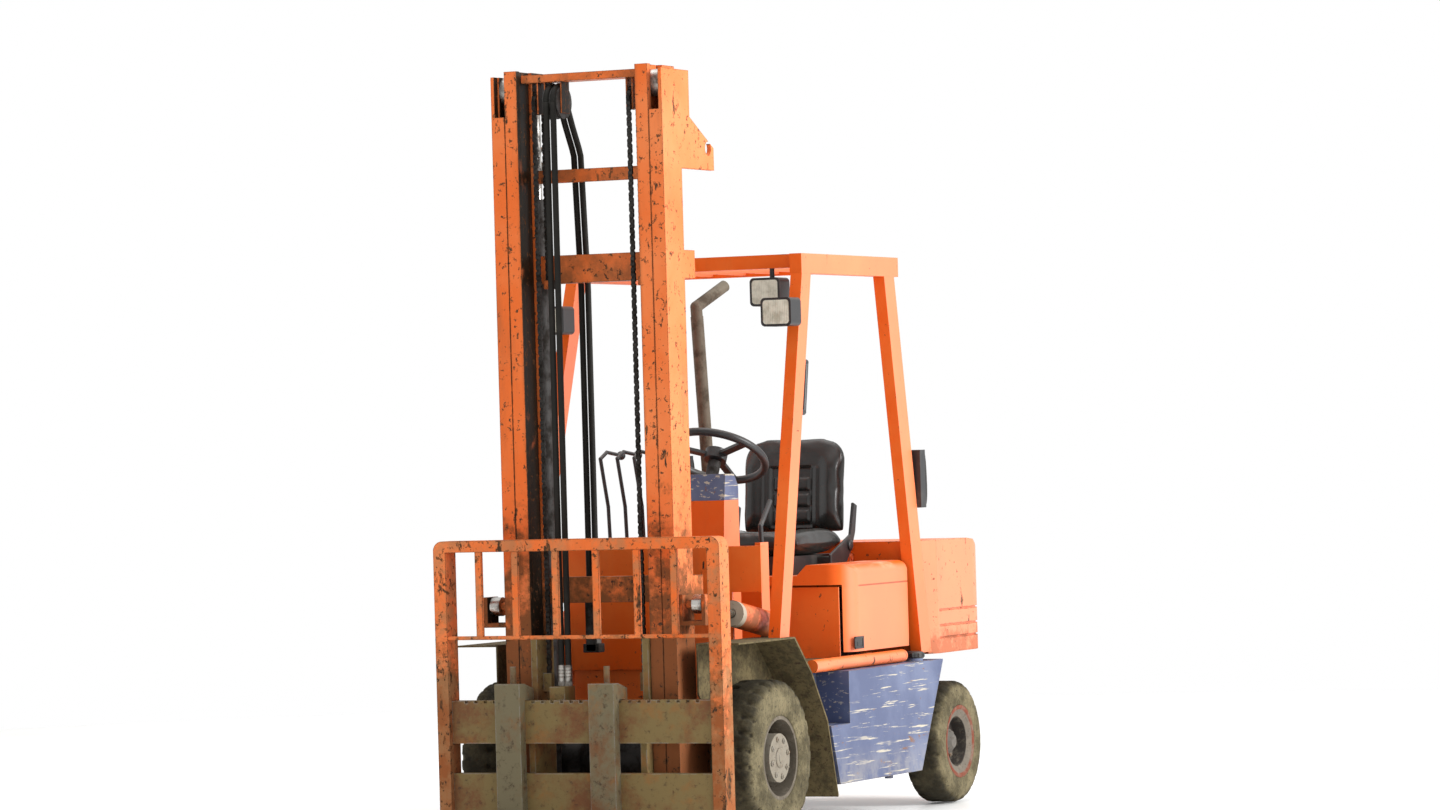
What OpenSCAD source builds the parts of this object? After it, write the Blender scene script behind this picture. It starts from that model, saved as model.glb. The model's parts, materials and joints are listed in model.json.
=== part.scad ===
// Counterbalance lift truck with a two-stage mast. Millimetres, +Z up, floor at Z 0.
// +X is the truck's left side and +Y its rear. Modules are drawn from the front axle line.

/* [Wheels] */
// Distance between the front and rear axles
wheelbase = 1686; // [1500:1:1900]
// Front tyre outside diameter
front_tyre_d = 566; // [540:1:600]
// Front tyre width
front_tyre_w = 170; // [150:1:180]
// Overall width over the front tyres
front_width = 1158; // [1140:1:1220]
// Rear tyre outside diameter
rear_tyre_d = 472; // [440:1:490]
// Rear tyre width
rear_tyre_w = 156; // [130:1:160]
// Overall width over the rear tyres
rear_width = 1128; // [1110:1:1160]
// Distance between the king pins
kingpin_span = 860; // [840:1:880]

/* [Mast] */
// Height of the outer rails
mast_h = 2735; // [2500:1:3000]
// Front axle to the front face of the rails
mast_reach = 340; // [330:1:360]
// Depth of the rails, front to rear
rail_depth = 150; // [140:1:160]
// Width over the outer rails
mast_w = 676; // [660:1:690]
// Width of one rail's flange
flange_w = 51; // [46:1:54]
// Thickness of the rail flanges
flange_t = 26; // [22:1:28]
// Travel of the inner mast
lift_travel = 1900; // [1500:1:1900]

/* [Carriage] */
// Length of the carriage bars
carriage_w = 1030; // [900:1:1040]
// Height over both carriage bars
carriage_h = 407; // [380:1:450]
// Underside of the lower carriage bar
carriage_z = 107; // [100:1:120]
// Top of the load backrest
backrest_z = 1084; // [950:1:1300]
// Fork length from heel to tip
fork_len = 1070; // [900:1:1200]
// Fork width
fork_w = 100; // [80:1:120]
// Fork thickness
fork_t = 40; // [35:1:45]
// Place of the right fork across the carriage
fork_right_x = -272; // [-400:1:-120]
// Place of the left fork across the carriage
fork_left_x = 99; // [80:1:400]

/* [Body] */
// Top of the floor plate
floor_z = 600; // [590:1:610]
// Front axle to the hood's front face
hood_front_y = 800; // [790:1:830]
// Width of the hood
hood_w = 1000; // [960:1:1000]
// Top of the hood under the seat
hood_z = 905; // [890:1:915]
// Width of the counterweight
tail_w = 1080; // [1070:1:1120]
// Rear axle to the tail of the counterweight
tail_reach = 414; // [390:1:460]
// Top of the counterweight
tail_z = 1014; // [990:1:1040]
// Width over the side tanks and fenders
tank_w = 1120; // [1100:1:1140]

/* [Overhead guard] */
// Top of the guard
guard_h = 2092; // [2050:1:2200]
// Half width of the guard at its top
guard_top_x = 458; // [445:1:470]
// Height of the guard's side beams
beam_h = 73; // [60:1:80]

/* [Seat and steering] */
// Seat and steering offset to the left
seat_x = 30; // [0:1:40]
// Steering wheel diameter
steer_d = 400; // [360:1:400]
// Height of the steering wheel's hub
steer_z = 1359; // [1340:1:1380]
// Backward lean of the steering column
steer_lean = 30; // [28:1:34]

/* [Hidden] */
$fn = 64;

front_r = front_tyre_d / 2;
rear_r = rear_tyre_d / 2;
rear_y = wheelbase;
tail_y = wheelbase + tail_reach;
kingpin_x = kingpin_span / 2;

// Mast
rail_x = mast_w / 2;
rail_y = -mast_reach;
rail_back = rail_y + rail_depth;
rail_mid = rail_y + rail_depth / 2;
web_t = 20;
inner_x = rail_x - flange_w - 3;
inner_in = inner_x - 49;
roller_d = rail_depth - 2 * flange_t - 1;
foot_bore = 66;
mast_low = 95;
tie_z = mast_low + lift_travel;
barrel_x = inner_x - 22;
barrel_y = rail_back + 40;
barrel_r = 33;
rod_r = 20;
barrel_top = mast_h - 435;
anchor_z = tie_z + 11;
sheave_z = mast_h - 97;
sheave_r = 33;
chain_x = 188;
chain_w = 16;
hose_x = -115;
hose_r = 11;
pulley_r = 58;
pulley_y = rail_y + 80;
hose_back_y = rail_back + 110;

// Carriage
bar_t = 45;
bar_back = rail_y - 45;
bar_front = bar_back - bar_t;
fork_face = bar_front - fork_t;
bar_top = carriage_z + carriage_h;
plate_x = inner_in - 3;
plate_t = 24;
plate_top = 735;
tip_y = fork_face - fork_len;
mid_y = (tail_y + tip_y) / 2;

// Tilt cylinders
eye_y = rail_y + 69;
eye_z = 843;
tilt_x = rail_x + 62;
tilt_y = 330;
tilt_z = 742;
tilt_angle = atan2(eye_z - tilt_z, tilt_y - eye_y);
tilt_len = norm([eye_z - tilt_z, tilt_y - eye_y]);
tilt_pin_r = 15;

// Body
tank_x = tank_w / 2;
fender_x = 400;
fender_top = front_r + 422;
frame_x = 330;
frame_top = floor_z - 6;
hood_rear = rear_y - 333;
hood_x = hood_w / 2;
hinge_y = rear_y - 291;
hinge_z = hood_z + 50;
tail_front = rear_y - 273;
tail_low = floor_z - 20;
tail_x = tail_w / 2;
dash_z = 1035;
post_z = 1196;

// Overhead guard legs: foot and head of each centre line
leg_w = 45;
front_leg_d = 80;
rear_leg_d = 95;
front_foot = [508, 152, fender_top];
front_head = [guard_top_x + 2, 538, guard_h - beam_h];
rear_foot = [508, rear_y - 237, floor_z - 10];
rear_head = [guard_top_x + 2, rear_y - 386, guard_h - beam_h];
roof_front = front_head[1] + 21;
roof_back = rear_y - 296;

// Point on a leg's centre line at height z
function along(foot, head, z) = foot + (head - foot) * (z - foot[2]) / (head[2] - foot[2]);

// Shared shapes
module box(x, y, z) {
  translate([x[0], y[0], z[0]]) cube([x[1] - x[0], y[1] - y[0], z[1] - z[0]]);
}

module both_sides() {
  children();
  mirror([1, 0, 0]) children();
}

// Side profile (y, z) drawn out across the truck
module across(x0, x1) {
  translate([x0, 0, 0]) rotate([90, 0, 90]) linear_extrude(x1 - x0) children();
}

// Front profile (x, z) drawn out along the truck
module lengthwise(y0, y1) {
  translate([0, y1, 0]) rotate([90, 0, 0]) linear_extrude(y1 - y0) children();
}

// Cylinder lying across the truck
module cross_pin(x0, x1, y, z, r) {
  translate([x0, y, z]) rotate([0, 90, 0]) cylinder(h = x1 - x0, r = r);
}

// Round bar between two points
module rod(a, b, r) {
  d = b - a;
  translate(a)
    rotate([0, acos(d[2] / norm(d)), atan2(d[1], d[0])])
      cylinder(h = norm(d), r = r);
}

// Round bar through a list of points with ball corners
module bent_rod(points, r) {
  for (i = [0 : len(points) - 2]) rod(points[i], points[i + 1], r);
  if (len(points) > 2)
    for (i = [1 : len(points) - 2]) translate(points[i]) sphere(r = r + 0.4);
}

// Rectangle with four round corners
module round_rect(x, y, r) {
  translate([x[0] + r, y[0]]) square([x[1] - x[0] - 2 * r, y[1] - y[0]]);
  translate([x[0], y[0] + r]) square([x[1] - x[0], y[1] - y[0] - 2 * r]);
  for (u = [x[0] + r, x[1] - r], v = [y[0] + r, y[1] - r]) translate([u, v]) circle(r = r);
}

// Leaning box section between two centres
module leg(foot, head, w, d) {
  hull() {
    translate(foot - [w / 2, d / 2, 0]) cube([w, d, 1]);
    translate(head - [w / 2, d / 2, 1]) cube([w, d, 1]);
  }
}

// Chassis
module side_plate() {
  across(frame_x - 14, frame_x)
    polygon([
      [110, 300], [110, frame_top], [rear_y - 300, frame_top], [rear_y - 300, 330],
      [rear_y - 430, 250], [480, 250]
    ]);
}

module frame() {
  color("orangered") {
    both_sides() {
      side_plate();
      // Saddle that carries the drive axle
      difference() {
        box([225, 275], [0, 141], [front_r - 66, front_r + 70]);
        cross_pin(220, 280, 0, front_r, 65.2);
      }
      // Outriggers and sill tube
      box([frame_x - 1, 500], [470, 510], [floor_z - 36, frame_top - 8]);
      box([frame_x - 1, 500], [rear_y - 446, rear_y - 406], [floor_z - 36, frame_top - 8]);
      rod([500, 452, floor_z - 15], [500, rear_y - 403, floor_z - 15], 24);
      // Tail beam
      box([100, 140], [rear_y - 305, tail_y - 150], [470, tail_low]);
    }
    box([-frame_x + 1, frame_x - 1], [140, 154], [front_r - 66, frame_top]);
    box([-frame_x + 1, frame_x - 1], [rear_y - 314, rear_y - 300], [330, frame_top]);
    // Hangers for the steer axle
    for (y = [rear_y - 92, rear_y + 70]) difference() {
      box([-110, 110], [y, y + 22], [rear_r - 70, 471]);
      translate([0, y - 1, rear_r]) rotate([-90, 0, 0]) cylinder(h = 24, r = 25.3);
    }
  }
}

module floor_plate() {
  color("dimgray") {
    translate([0, 0, frame_top]) linear_extrude(floor_z - frame_top) {
      translate([-fender_x + 8, 142]) square([2 * fender_x - 16, 160]);
      translate([-477, 300]) square([954, hood_front_y - 305]);
    }
    // Brackets and pins of the tilt cylinders
    both_sides() {
      for (x = [tilt_x - 34, tilt_x + 24])
        across(x, x + 10)
          polygon([[302, floor_z - 1], [380, floor_z - 1], [350, tilt_z + 26], [310, tilt_z + 26]]);
      cross_pin(tilt_x - 34, tilt_x + 34, tilt_y, tilt_z, 13.5);
    }
  }
}

module front_bulkhead() {
  color("orangered") difference() {
    union() {
      box([-fender_x + 8, fender_x - 8], [130, 142], [floor_z - 6, fender_top + 1]);
      box([-455, 455], [130, 142], [fender_top, dash_z]);
      box([-455, 455], [130, 165], [dash_z - 8, dash_z]);
    }
    both_sides() cross_port();
  }
}

// Port for the tilt cylinder
module cross_port() {
  box([tilt_x - 62, tilt_x + 75], [120, 150], [fender_top - 20, fender_top + 165]);
}

module dash_pedestal() {
  color("orangered") {
    difference() {
      across(seat_x - 106, seat_x + 106)
        polygon([[470, floor_z], [640, floor_z], [640, post_z], [515, post_z]]);
      across(seat_x - 100, seat_x + 100)
        polygon([[480, floor_z + 6], [634, floor_z + 6], [634, post_z - 6], [523, post_z - 6]]);
    }
    // Console under the hydraulic levers
    box([-400, -200], [530, 650], [floor_z, 960]);
    // Bracket of the parking brake
    box([290, 312], [440, 510], [floor_z, 1040]);
  }
}

steer_hub = [seat_x, 680, steer_z];
steer_axis = [0, sin(steer_lean), cos(steer_lean)];

module column_cover() {
  color("slateblue") difference() {
    across(seat_x - 106, seat_x + 106)
      polygon([
        [515, post_z], [640, post_z], [640, post_z + 52], [605, post_z + 97], [530, post_z + 97]
      ]);
    rod(steer_hub - 150 * steer_axis, steer_hub, 24.3);
  }
}

module steering_column() {
  color("gray") {
    rod(steer_hub - 149 * steer_axis, steer_hub - 26 * steer_axis, 24);
    rod(steer_hub - 27 * steer_axis, steer_hub - 6 * steer_axis, 9.5);
  }
}

module control_levers() {
  color("dimgray") {
    for (x = [-370, -300, -230]) {
      bent_rod([[x, 590, 960.5], [x, 575, 1180], [x, 520, 1360], [x, 575, 1384], [x, 680, 1372]], 7);
      translate([x, 694, 1370]) sphere(r = 17);
    }
    bent_rod([[301, 475, 1040.8], [301, 470, 1100], [301, 560, 1190]], 9);
  }
}

fender_line = [
  [-300, fender_top], [178, fender_top], [318, fender_top - 133],
  [447, fender_top - 314], [526, fender_top - 592]
];

module front_fenders() {
  color("saddlebrown") both_sides() {
    across(fender_x - 6, tank_x)
      polygon(concat(fender_line, [for (i = [4 : -1 : 0]) fender_line[i] - [i == 0 ? 0 : 6, 6]]));
    across(fender_x - 6, fender_x)
      polygon([
        [-300, fender_top - 5], [177, fender_top - 5], [314, fender_top - 135],
        [440, fender_top - 315], [440, front_r + 90], [-120, front_r + 90], [-300, front_r + 240]
      ]);
    // Bracket to the frame
    box([frame_x, fender_x - 5], [240, 300], [front_r + 92, front_r + 132]);
  }
}

module side_tanks() {
  color("slateblue") both_sides() {
    difference() {
      across(frame_x, tank_x)
        polygon([
          [445, floor_z - 40], [462, 400], [545, 150], [rear_y - 380, 150],
          [rear_y - 150, floor_z - 46], [rear_y - 150, floor_z - 40]
        ]);
      box([430, tank_x + 1], [400, 644], [368, floor_z]);
      // Hollow, closed by the frame's side plate
      across(frame_x - 1, 424)
        polygon([
          [480, floor_z - 48], [480, 402], [558, 158], [rear_y - 388, 158],
          [rear_y - 310, 298], [rear_y - 310, floor_z - 48]
        ]);
      across(423, tank_x - 6)
        polygon([
          [652, floor_z - 48], [652, 158], [rear_y - 388, 158],
          [rear_y - 172, floor_z - 62], [rear_y - 172, floor_z - 48]
        ]);
    }
    translate([520, rear_y - 330, floor_z - 41]) cylinder(h = 36, r = 32);
    translate([500, rear_y - 560, 132]) cylinder(h = 19, r = 16);
  }
}

module toe_panel() {
  color("orangered") {
    box([-455, 455], [hood_front_y + 8, hood_front_y + 14], [frame_top, hood_z - 43]);
    box([-320, 320], [hood_front_y + 8, hood_front_y + 60], [frame_top, frame_top + 6]);
  }
}

module engine_block() {
  color("dimgray")
    box([-frame_x + 14, frame_x - 14], [hood_front_y + 90, hood_rear - 40], [360, hood_z - 60]);
}

// Outline of the counterweight seen from above, drawn in by a step
module tail_plan(inset) {
  r = 200 - inset;
  translate([-tail_x + inset, tail_front]) square([tail_w - 2 * inset, tail_reach + 273 - 200]);
  translate([-tail_x + 200, tail_front]) square([tail_w - 400, tail_y - tail_front - inset]);
  for (s = [-1, 1]) translate([s * (tail_x - 200), tail_y - 200]) circle(r = r);
}

module tail_block() {
  intersection() {
    translate([0, 0, tail_low]) linear_extrude(tail_z - tail_low) tail_plan(0);
    across(-tail_x, tail_x)
      polygon([
        [tail_front, tail_low], [tail_y, tail_low], [tail_y, tail_low + 70],
        [tail_y - 28, tail_low + 188], [tail_y - 75, tail_low + 310],
        [tail_y - 130, tail_z - 35], [tail_y - 185, tail_z - 6], [tail_y - 250, tail_z],
        [tail_front, tail_z]
      ]);
  }
}

module counterweight() {
  color("orangered") difference() {
    union() {
      tail_block();
      // Hinge lugs of the hood
      both_sides() box([238, 252], [hinge_y - 15, tail_front + 1], [hinge_z - 16, hinge_z + 16]);
    }
    cross_pin(-270, 270, hinge_y, hinge_z, 8.4);
    both_sides() {
      // Bevel beside the rear leg
      translate([0, 0, tail_low - 1]) linear_extrude(tail_z)
        polygon([[tail_x - 62, tail_front - 1], [tail_x + 1, tail_front - 1], [tail_x + 1, tail_front + 140]]);
      leg(rear_foot - [0, 0, 20], along(rear_foot, rear_head, tail_z + 60), leg_w + 8, rear_leg_d + 8);
    }
    // Grooves round the sides and tail
    for (z = [tail_low + 55, tail_low + 102, tail_low + 161])
      translate([0, 0, z]) linear_extrude(8) difference() {
        translate([-tail_x - 10, tail_front + 150]) square([tail_w + 20, tail_y]);
        tail_plan(7);
      }
    // Drawbar slot and pin hole
    box([-45, 45], [tail_y - 130, tail_y + 1], [tail_low + 90, tail_low + 150]);
    translate([0, tail_y - 70, tail_low + 40]) cylinder(h = 400, r = 16);
    translate([0, tail_y - 70, tail_low + 306]) cylinder(h = 200, r = 28);
  }
}

module tow_pin() {
  color("gray") translate([0, tail_y - 70, tail_low + 40]) {
    cylinder(h = 270, r = 15.5);
    translate([0, 0, 266.3]) cylinder(h = 30, r = 24);
  }
}

module drive_axle() {
  end = front_width / 2 - 110;
  half = [[135, 110], [65, 200], [65, 372], [118, 372], [118, 390], [44, 390], [44, end]];
  color("dimgray") translate([0, 0, front_r]) rotate([0, 90, 0]) rotate_extrude()
    polygon(concat(
      [[0, -end]], [for (i = [6 : -1 : 0]) [half[i][0], -half[i][1]]], half, [[0, end]]
    ));
}

module steer_axle() {
  color("dimgray") translate([0, rear_y, rear_r]) {
    difference() {
      union() {
        box([-290, 290], [-45, 45], [-45, 45]);
        both_sides() {
          box([285, kingpin_x - 37], [-30, 30], [-45, 45]);
          box([kingpin_x - 62, kingpin_x - 37], [-30, 30], [-68, 68]);
          for (z = [-68, 52]) {
            box([kingpin_x - 40, kingpin_x], [-30, 30], [z, z + 16]);
            translate([kingpin_x, 0, z]) cylinder(h = 16, r = 30);
          }
          translate([kingpin_x, 0, -67]) cylinder(h = 134, r = 18);
        }
        rotate([-90, 0, 0]) translate([0, 0, -95]) cylinder(h = 190, r = 25);
      }
    }
  }
}

module guard_legs() {
  color("orangered") both_sides() {
    leg(front_foot, front_head, leg_w, front_leg_d);
    leg(rear_foot, rear_head, leg_w, rear_leg_d);
  }
}

module guard_roof() {
  x = guard_top_x;
  low = guard_h - beam_h;
  color("orangered") {
    both_sides() {
      box([x - 24, x + 24], [roof_front - 61, roof_back], [low, guard_h]);
    }
    box([-x, x], [roof_front - 20, roof_front + 25], [guard_h - 50, guard_h]);
    box([-x, x], [roof_back - 45, roof_back], [guard_h - 50, guard_h]);
    for (i = [-2 : 2])
      box([i * 140 - 6, i * 140 + 6], [roof_front + 20, roof_back - 40], [guard_h - 45, guard_h - 3]);
  }
}

lamp_z = 1876;
lamp_leg = along(front_foot, front_head, lamp_z);
side_lamp = lamp_leg - [5, 138, 0];
beam_lamp = [340, roof_front - 30, guard_h - 137];

module lamp_body(at) {
  translate(at) {
    lengthwise(-50, 40) round_rect([-60, 60], [-52, 52], 16);
    translate([0, 39, 0]) rotate([-90, 0, 0]) cylinder(h = 20, r1 = 45, r2 = 28);
  }
}

module lamp_housings() {
  color("black") {
    both_sides() {
      difference() {
        lamp_body(side_lamp);
        translate(side_lamp) lengthwise(-51, -38) round_rect([-52, 52], [-44, 44], 12);
      }
      // Arm to the leg
      rod(side_lamp + [0, 40, 0], lamp_leg - [5, front_leg_d / 2 + 2.7, 0], 9);
      // Rear lamp behind the leg
      rear_lamp();
    }
    difference() {
      lamp_body(beam_lamp);
      translate(beam_lamp) lengthwise(-51, -38) round_rect([-52, 52], [-44, 44], 12);
    }
    rod(beam_lamp + [0, 20, 40], [beam_lamp[0], beam_lamp[1] + 20, guard_h - 50], 9);
  }
}

module rear_lamp() {
  at = along(rear_foot, rear_head, 1140);
  y = at[1] + rear_leg_d / 2;
  box([at[0] - 40, at[0] + 40], [y, y + 50], [1140, 1360]);
}

module lamp_lenses() {
  color("lightyellow") {
    both_sides() translate(side_lamp) lengthwise(-50, -38) round_rect([-51.5, 51.5], [-43.5, 43.5], 12);
    translate(beam_lamp) lengthwise(-50, -38) round_rect([-51.5, 51.5], [-43.5, 43.5], 12);
  }
}

module grab_handle() {
  low = along(front_foot, front_head, 1512) + [0, front_leg_d / 2, 0];
  high = along(front_foot, front_head, 1693) + [0, front_leg_d / 2, 0];
  color("black") difference() {
    bent_rod([low - [0, 8, 0], low + [0, 55, 0], high + [0, 50, 0], high - [0, 8, 0]], 11);
    leg(front_foot, front_head, leg_w, front_leg_d);
  }
}

stack_foot = [-400, rear_y - 140, tail_z];
stack_head = [-400, rear_y - 232, 1900];

module exhaust_stack() {
  color("gray") {
    translate(stack_foot) cylinder(h = 10, r = 36);
    rod(stack_foot + [0, 0, 4], stack_head, 25);
    bent_rod([stack_head, stack_head + [0, -4, 37], stack_head + [45, 166, 120]], 23);
  }
}

// Hood and seat
module hood_profile(inset) {
  r = 40;
  top = hood_z + 40 - inset;
  x = hood_x - inset;
  translate([-x, floor_z]) square([2 * x, hood_z - 40 - floor_z]);
  translate([-x + r, floor_z]) square([2 * x - 2 * r, hood_z - inset - floor_z]);
  for (s = [-1, 1]) {
    translate([s * (x - r), top - r]) circle(r = r);
    polygon([
      [s * x, hood_z - 41], [s * x, top - r], [s * (x - r), top], [s * 330, top],
      [s * 290, hood_z - inset], [s * 290, hood_z - 41]
    ]);
  }
}

module hood_plan(inset) {
  r = 90;
  x = hood_x - inset;
  y = hood_front_y + inset;
  translate([-x + r, y]) square([2 * x - 2 * r, 200]);
  translate([-x, y + r]) square([2 * x, hood_rear - y - r + (inset > 0 ? 1 : 0)]);
  for (s = [-1, 1]) translate([s * (x - r), y + r]) circle(r = r);
}

module hood_block(inset) {
  intersection() {
    lengthwise(hood_front_y - 10, hood_rear + 10) hood_profile(inset);
    translate([0, 0, floor_z + 20]) linear_extrude(500) hood_plan(inset);
  }
}

module hood_shell() {
  color("orangered") {
    difference() {
      hood_block(0);
      translate([0, 0, -1]) hood_block(6);
      box([-465, 465], [hood_front_y - 1, hood_front_y + 30], [floor_z, hood_z - 35]);
    }
    // Hinge arms and pin
    both_sides() box([200, 230], [hood_rear - 30, hinge_y], [hood_z - 4, hinge_z + 8]);
    cross_pin(-258, 258, hinge_y, hinge_z, 8);
  }
}

module seat_base() {
  color("black") box([seat_x - 190, seat_x + 190], [hood_front_y + 110, hood_rear - 35], [hood_z, hood_z + 70]);
}

module seat_cushion() {
  color("black")
    lengthwise(hood_front_y + 100, hood_rear - 20)
      round_rect([seat_x - 235, seat_x + 235], [hood_z + 70, hood_z + 160], 35);
}

module seat_back() {
  y = hood_rear - 20;
  z = hood_z + 150;
  color("black")
    across(seat_x - 225, seat_x + 225)
      polygon([[y, z], [y + 30, z - 20], [y + 70, z + 30], [y + 110, z + 350], [y + 60, z + 371], [y + 30, z + 340]]);
}

module steering_wheel() {
  color("black") translate(steer_hub) rotate([-steer_lean, 0, 0]) {
    rotate_extrude() translate([steer_d / 2 - 15, 0]) circle(r = 15, $fn = 24);
    difference() {
      union() {
        translate([0, 0, -20]) cylinder(h = 40, r = 42);
        for (a = [90, 210, 330]) rotate([0, 0, a]) box([30, steer_d / 2 - 18], [-14, 14], [-7, 5]);
      }
      translate([0, 0, -21]) cylinder(h = 18, r = 10);
    }
  }
}

// Wheels, drawn on the left side
module front_tyre() {
  w = front_tyre_w / 2;
  r = front_r;
  color("dimgray") translate([front_width / 2 - w, 0, r]) rotate([0, 90, 0]) rotate_extrude()
    polygon([
      [150, -w + 6], [200, -w], [235, -w + 2], [r - 12, -w + 14], [r, -w + 40],
      [r, w - 40], [r - 12, w - 14], [235, w - 2], [200, w], [150, w - 6]
    ]);
}

module front_rim() {
  w = front_tyre_w / 2;
  color("gray") translate([front_width / 2 - w, 0, front_r]) rotate([0, 90, 0]) rotate_extrude()
    polygon([
      [45, -w + 16], [90, -w + 16], [137, -w + 20], [137, -w + 8], [150, -w + 8], [150, w - 8],
      [137, w - 8], [137, -w + 45], [87, -w + 40], [87, w - 12], [30, w - 10], [0, w - 10],
      [0, -8], [45, -8]
    ]);
}

module rear_tyre() {
  w = rear_tyre_w / 2;
  r = rear_r;
  color("dimgray") translate([rear_width / 2 - w, rear_y, r]) rotate([0, 90, 0]) rotate_extrude()
    polygon([
      [139, -w + 5], [170, -w], [195, -w + 2], [r - 12, -w + 14], [r, -w + 38],
      [r, w - 38], [r - 12, w - 14], [195, w - 2], [170, w], [139, w - 5]
    ]);
}

module rear_rim() {
  w = rear_tyre_w / 2;
  color("sienna") translate([rear_width / 2 - w, rear_y, rear_r]) rotate([0, 90, 0]) rotate_extrude()
    polygon([
      [22, -5], [50, -5], [127, -10], [127, -w + 6], [139, -w + 6], [139, w - 4],
      [128, w - 4], [95, w - 20], [92, 8], [50, 8], [46, 28], [24, 48], [0, 48], [0, 40], [22, 40]
    ]);
}

module knuckle() {
  color("dimgray") translate([kingpin_x, rear_y, rear_r]) difference() {
    union() {
      translate([0, 0, -48]) cylinder(h = 96, r = 32);
      cross_pin(0, rear_width / 2 - rear_tyre_w / 2 + 38 - kingpin_x, 0, 0, 21.5);
    }
    translate([0, 0, -49]) cylinder(h = 98, r = 18.5);
  }
}

// Outer mast
module outer_rail() {
  translate([0, 0, mast_low]) linear_extrude(mast_h - mast_low) {
    translate([rail_x - web_t, rail_y]) square([web_t, rail_depth]);
    translate([rail_x - flange_w, rail_y]) square([flange_w, flange_t]);
    translate([rail_x - flange_w, rail_back - flange_t]) square([flange_w, flange_t]);
  }
}

module lug_plate() {
  across(rail_x - 16, rail_x) difference() {
    polygon([
      [rail_back - 1, mast_h - 350], [rail_back + 268, mast_h - 350], [rail_back + 268, mast_h - 270],
      [rail_back + 74, mast_h - 165], [rail_back + 74, mast_h], [rail_back - 1, mast_h]
    ]);
    translate([rail_back + 222, mast_h - 272]) circle(r = 25);
  }
}

// Cross tie that stands clear of the inner rails
module tie(depth, z0, z1) {
  box([-rail_x, rail_x], [rail_back + 5, rail_back + depth], [z0, z1]);
  both_sides() box([rail_x - flange_w + 4, rail_x], [rail_back - 1, rail_back + 6], [z0, z1]);
}

module outer_mast() {
  color("orangered") difference() {
    union() {
      both_sides() {
        outer_rail();
        lug_plate();
        // Foot that hangs on the drive axle
        box([rail_x - 50, rail_x], [rail_back - 1, 0], [front_r - 70, front_r + 70]);
        cross_pin(rail_x - 50, rail_x, 0, front_r, 92);
        // Lugs of the tilt cylinder's pin
        for (x = [rail_x - 1, tilt_x + 24])
          box([x, x + 14], [eye_y - 40, eye_y + 45], [eye_z - 60, eye_z + 35]);
        box([rail_x - 1, tilt_x + 38], [eye_y - 40, eye_y + 45], [eye_z - 74, eye_z - 58]);
        cross_pin(rail_x + 5, tilt_x + 44, eye_y, eye_z, tilt_pin_r);
      }
      // Ties behind the rails
      tie(86, tie_z, tie_z + 100);
      tie(80, 850, 942);
      tie(78, mast_low, mast_low + 60);
      // Rear chain anchors
      both_sides() box([chain_x - 11, chain_x + 11], [pulley_y + 22, rail_back + 6], [tie_z - 20, anchor_z]);
    }
    both_sides() {
      // Axle bearing, cylinder seats and the roller's notch
      cross_pin(rail_x - 60, rail_x + 10, 0, front_r, foot_bore);
      translate([barrel_x, barrel_y, mast_low + 30]) cylinder(h = mast_h, r = barrel_r + 0.4);
      box([rail_x - flange_w - 1, rail_x - 13], [rail_y - 1, rail_y + flange_t + 1], [mast_h - 145, mast_h + 1]);
    }
  }
}

module outer_rollers() {
  color("silver") both_sides()
    cross_pin(inner_x - 18, rail_x - web_t, rail_mid, mast_h - 48, roller_d / 2);
}

module lift_barrels() {
  color("dimgray") both_sides() translate([barrel_x, barrel_y, mast_low + 30]) difference() {
    cylinder(h = barrel_top - mast_low - 30, r = barrel_r);
    translate([0, 0, 30]) cylinder(h = barrel_top, r = rod_r + 1);
  }
}

// Inner mast
module inner_rail() {
  translate([0, 0, mast_low + 8]) linear_extrude(mast_h + 17 - mast_low - 8) {
    translate([inner_in + 15, rail_y]) square([14, rail_depth]);
    translate([inner_in, rail_y]) square([49, flange_t]);
    translate([inner_in, rail_back - flange_t]) square([49, flange_t]);
  }
}

module inner_mast() {
  top = mast_h + 17;
  color("orangered") {
    both_sides() {
      inner_rail();
      // Head over the lift rod
      box([inner_in, inner_x], [rail_back - 30, barrel_y + 30], [top - 34, top]);
      // Chain sheave hangers
      for (x = [chain_x - 14, chain_x + 9])
        box([x, x + 5], [pulley_y - 30, pulley_y + 30], [sheave_z - 40, top - 30]);
    }
    for (x = [hose_x - 35, hose_x + 30])
      box([x, x + 5], [pulley_y - 30, pulley_y + 30], [sheave_z - 40, top - 30]);
    box([-inner_in - 1, inner_in + 1], [rail_y + 40, rail_back - 30], [top - 42, top - 14]);
    box([-inner_in - 1, inner_in + 1], [rail_back - 24, rail_back - 4], [mast_h - 382, mast_h - 335]);
    box([-inner_in - 1, inner_in + 1], [rail_back - 24, rail_back - 4], [mast_low + 20, mast_low + 140]);
  }
}

module inner_rollers() {
  color("silver") both_sides()
    cross_pin(inner_in + 29, rail_x - web_t - 3, rail_mid, mast_low + 70, roller_d / 2);
}

module lift_rods() {
  color("silver") both_sides()
    translate([barrel_x, barrel_y, mast_low + 70])
      cylinder(h = mast_h - 17 - mast_low - 70, r = rod_r);
}

module mast_sheaves() {
  color("dimgray") {
    both_sides() {
      cross_pin(chain_x - 8, chain_x + 8, pulley_y, sheave_z, sheave_r - 4);
      cross_pin(chain_x - 9, chain_x + 9, pulley_y, sheave_z, 12);
    }
    cross_pin(hose_x - 29, hose_x + 29, pulley_y, sheave_z, pulley_r - hose_r - 0.3);
    for (x = [hose_x - 29, hose_x - 2, hose_x + 25])
      cross_pin(x, x + 4, pulley_y, sheave_z, pulley_r + 2);
    cross_pin(hose_x - 30, hose_x + 30, pulley_y, sheave_z, 12);
  }
}

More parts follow.
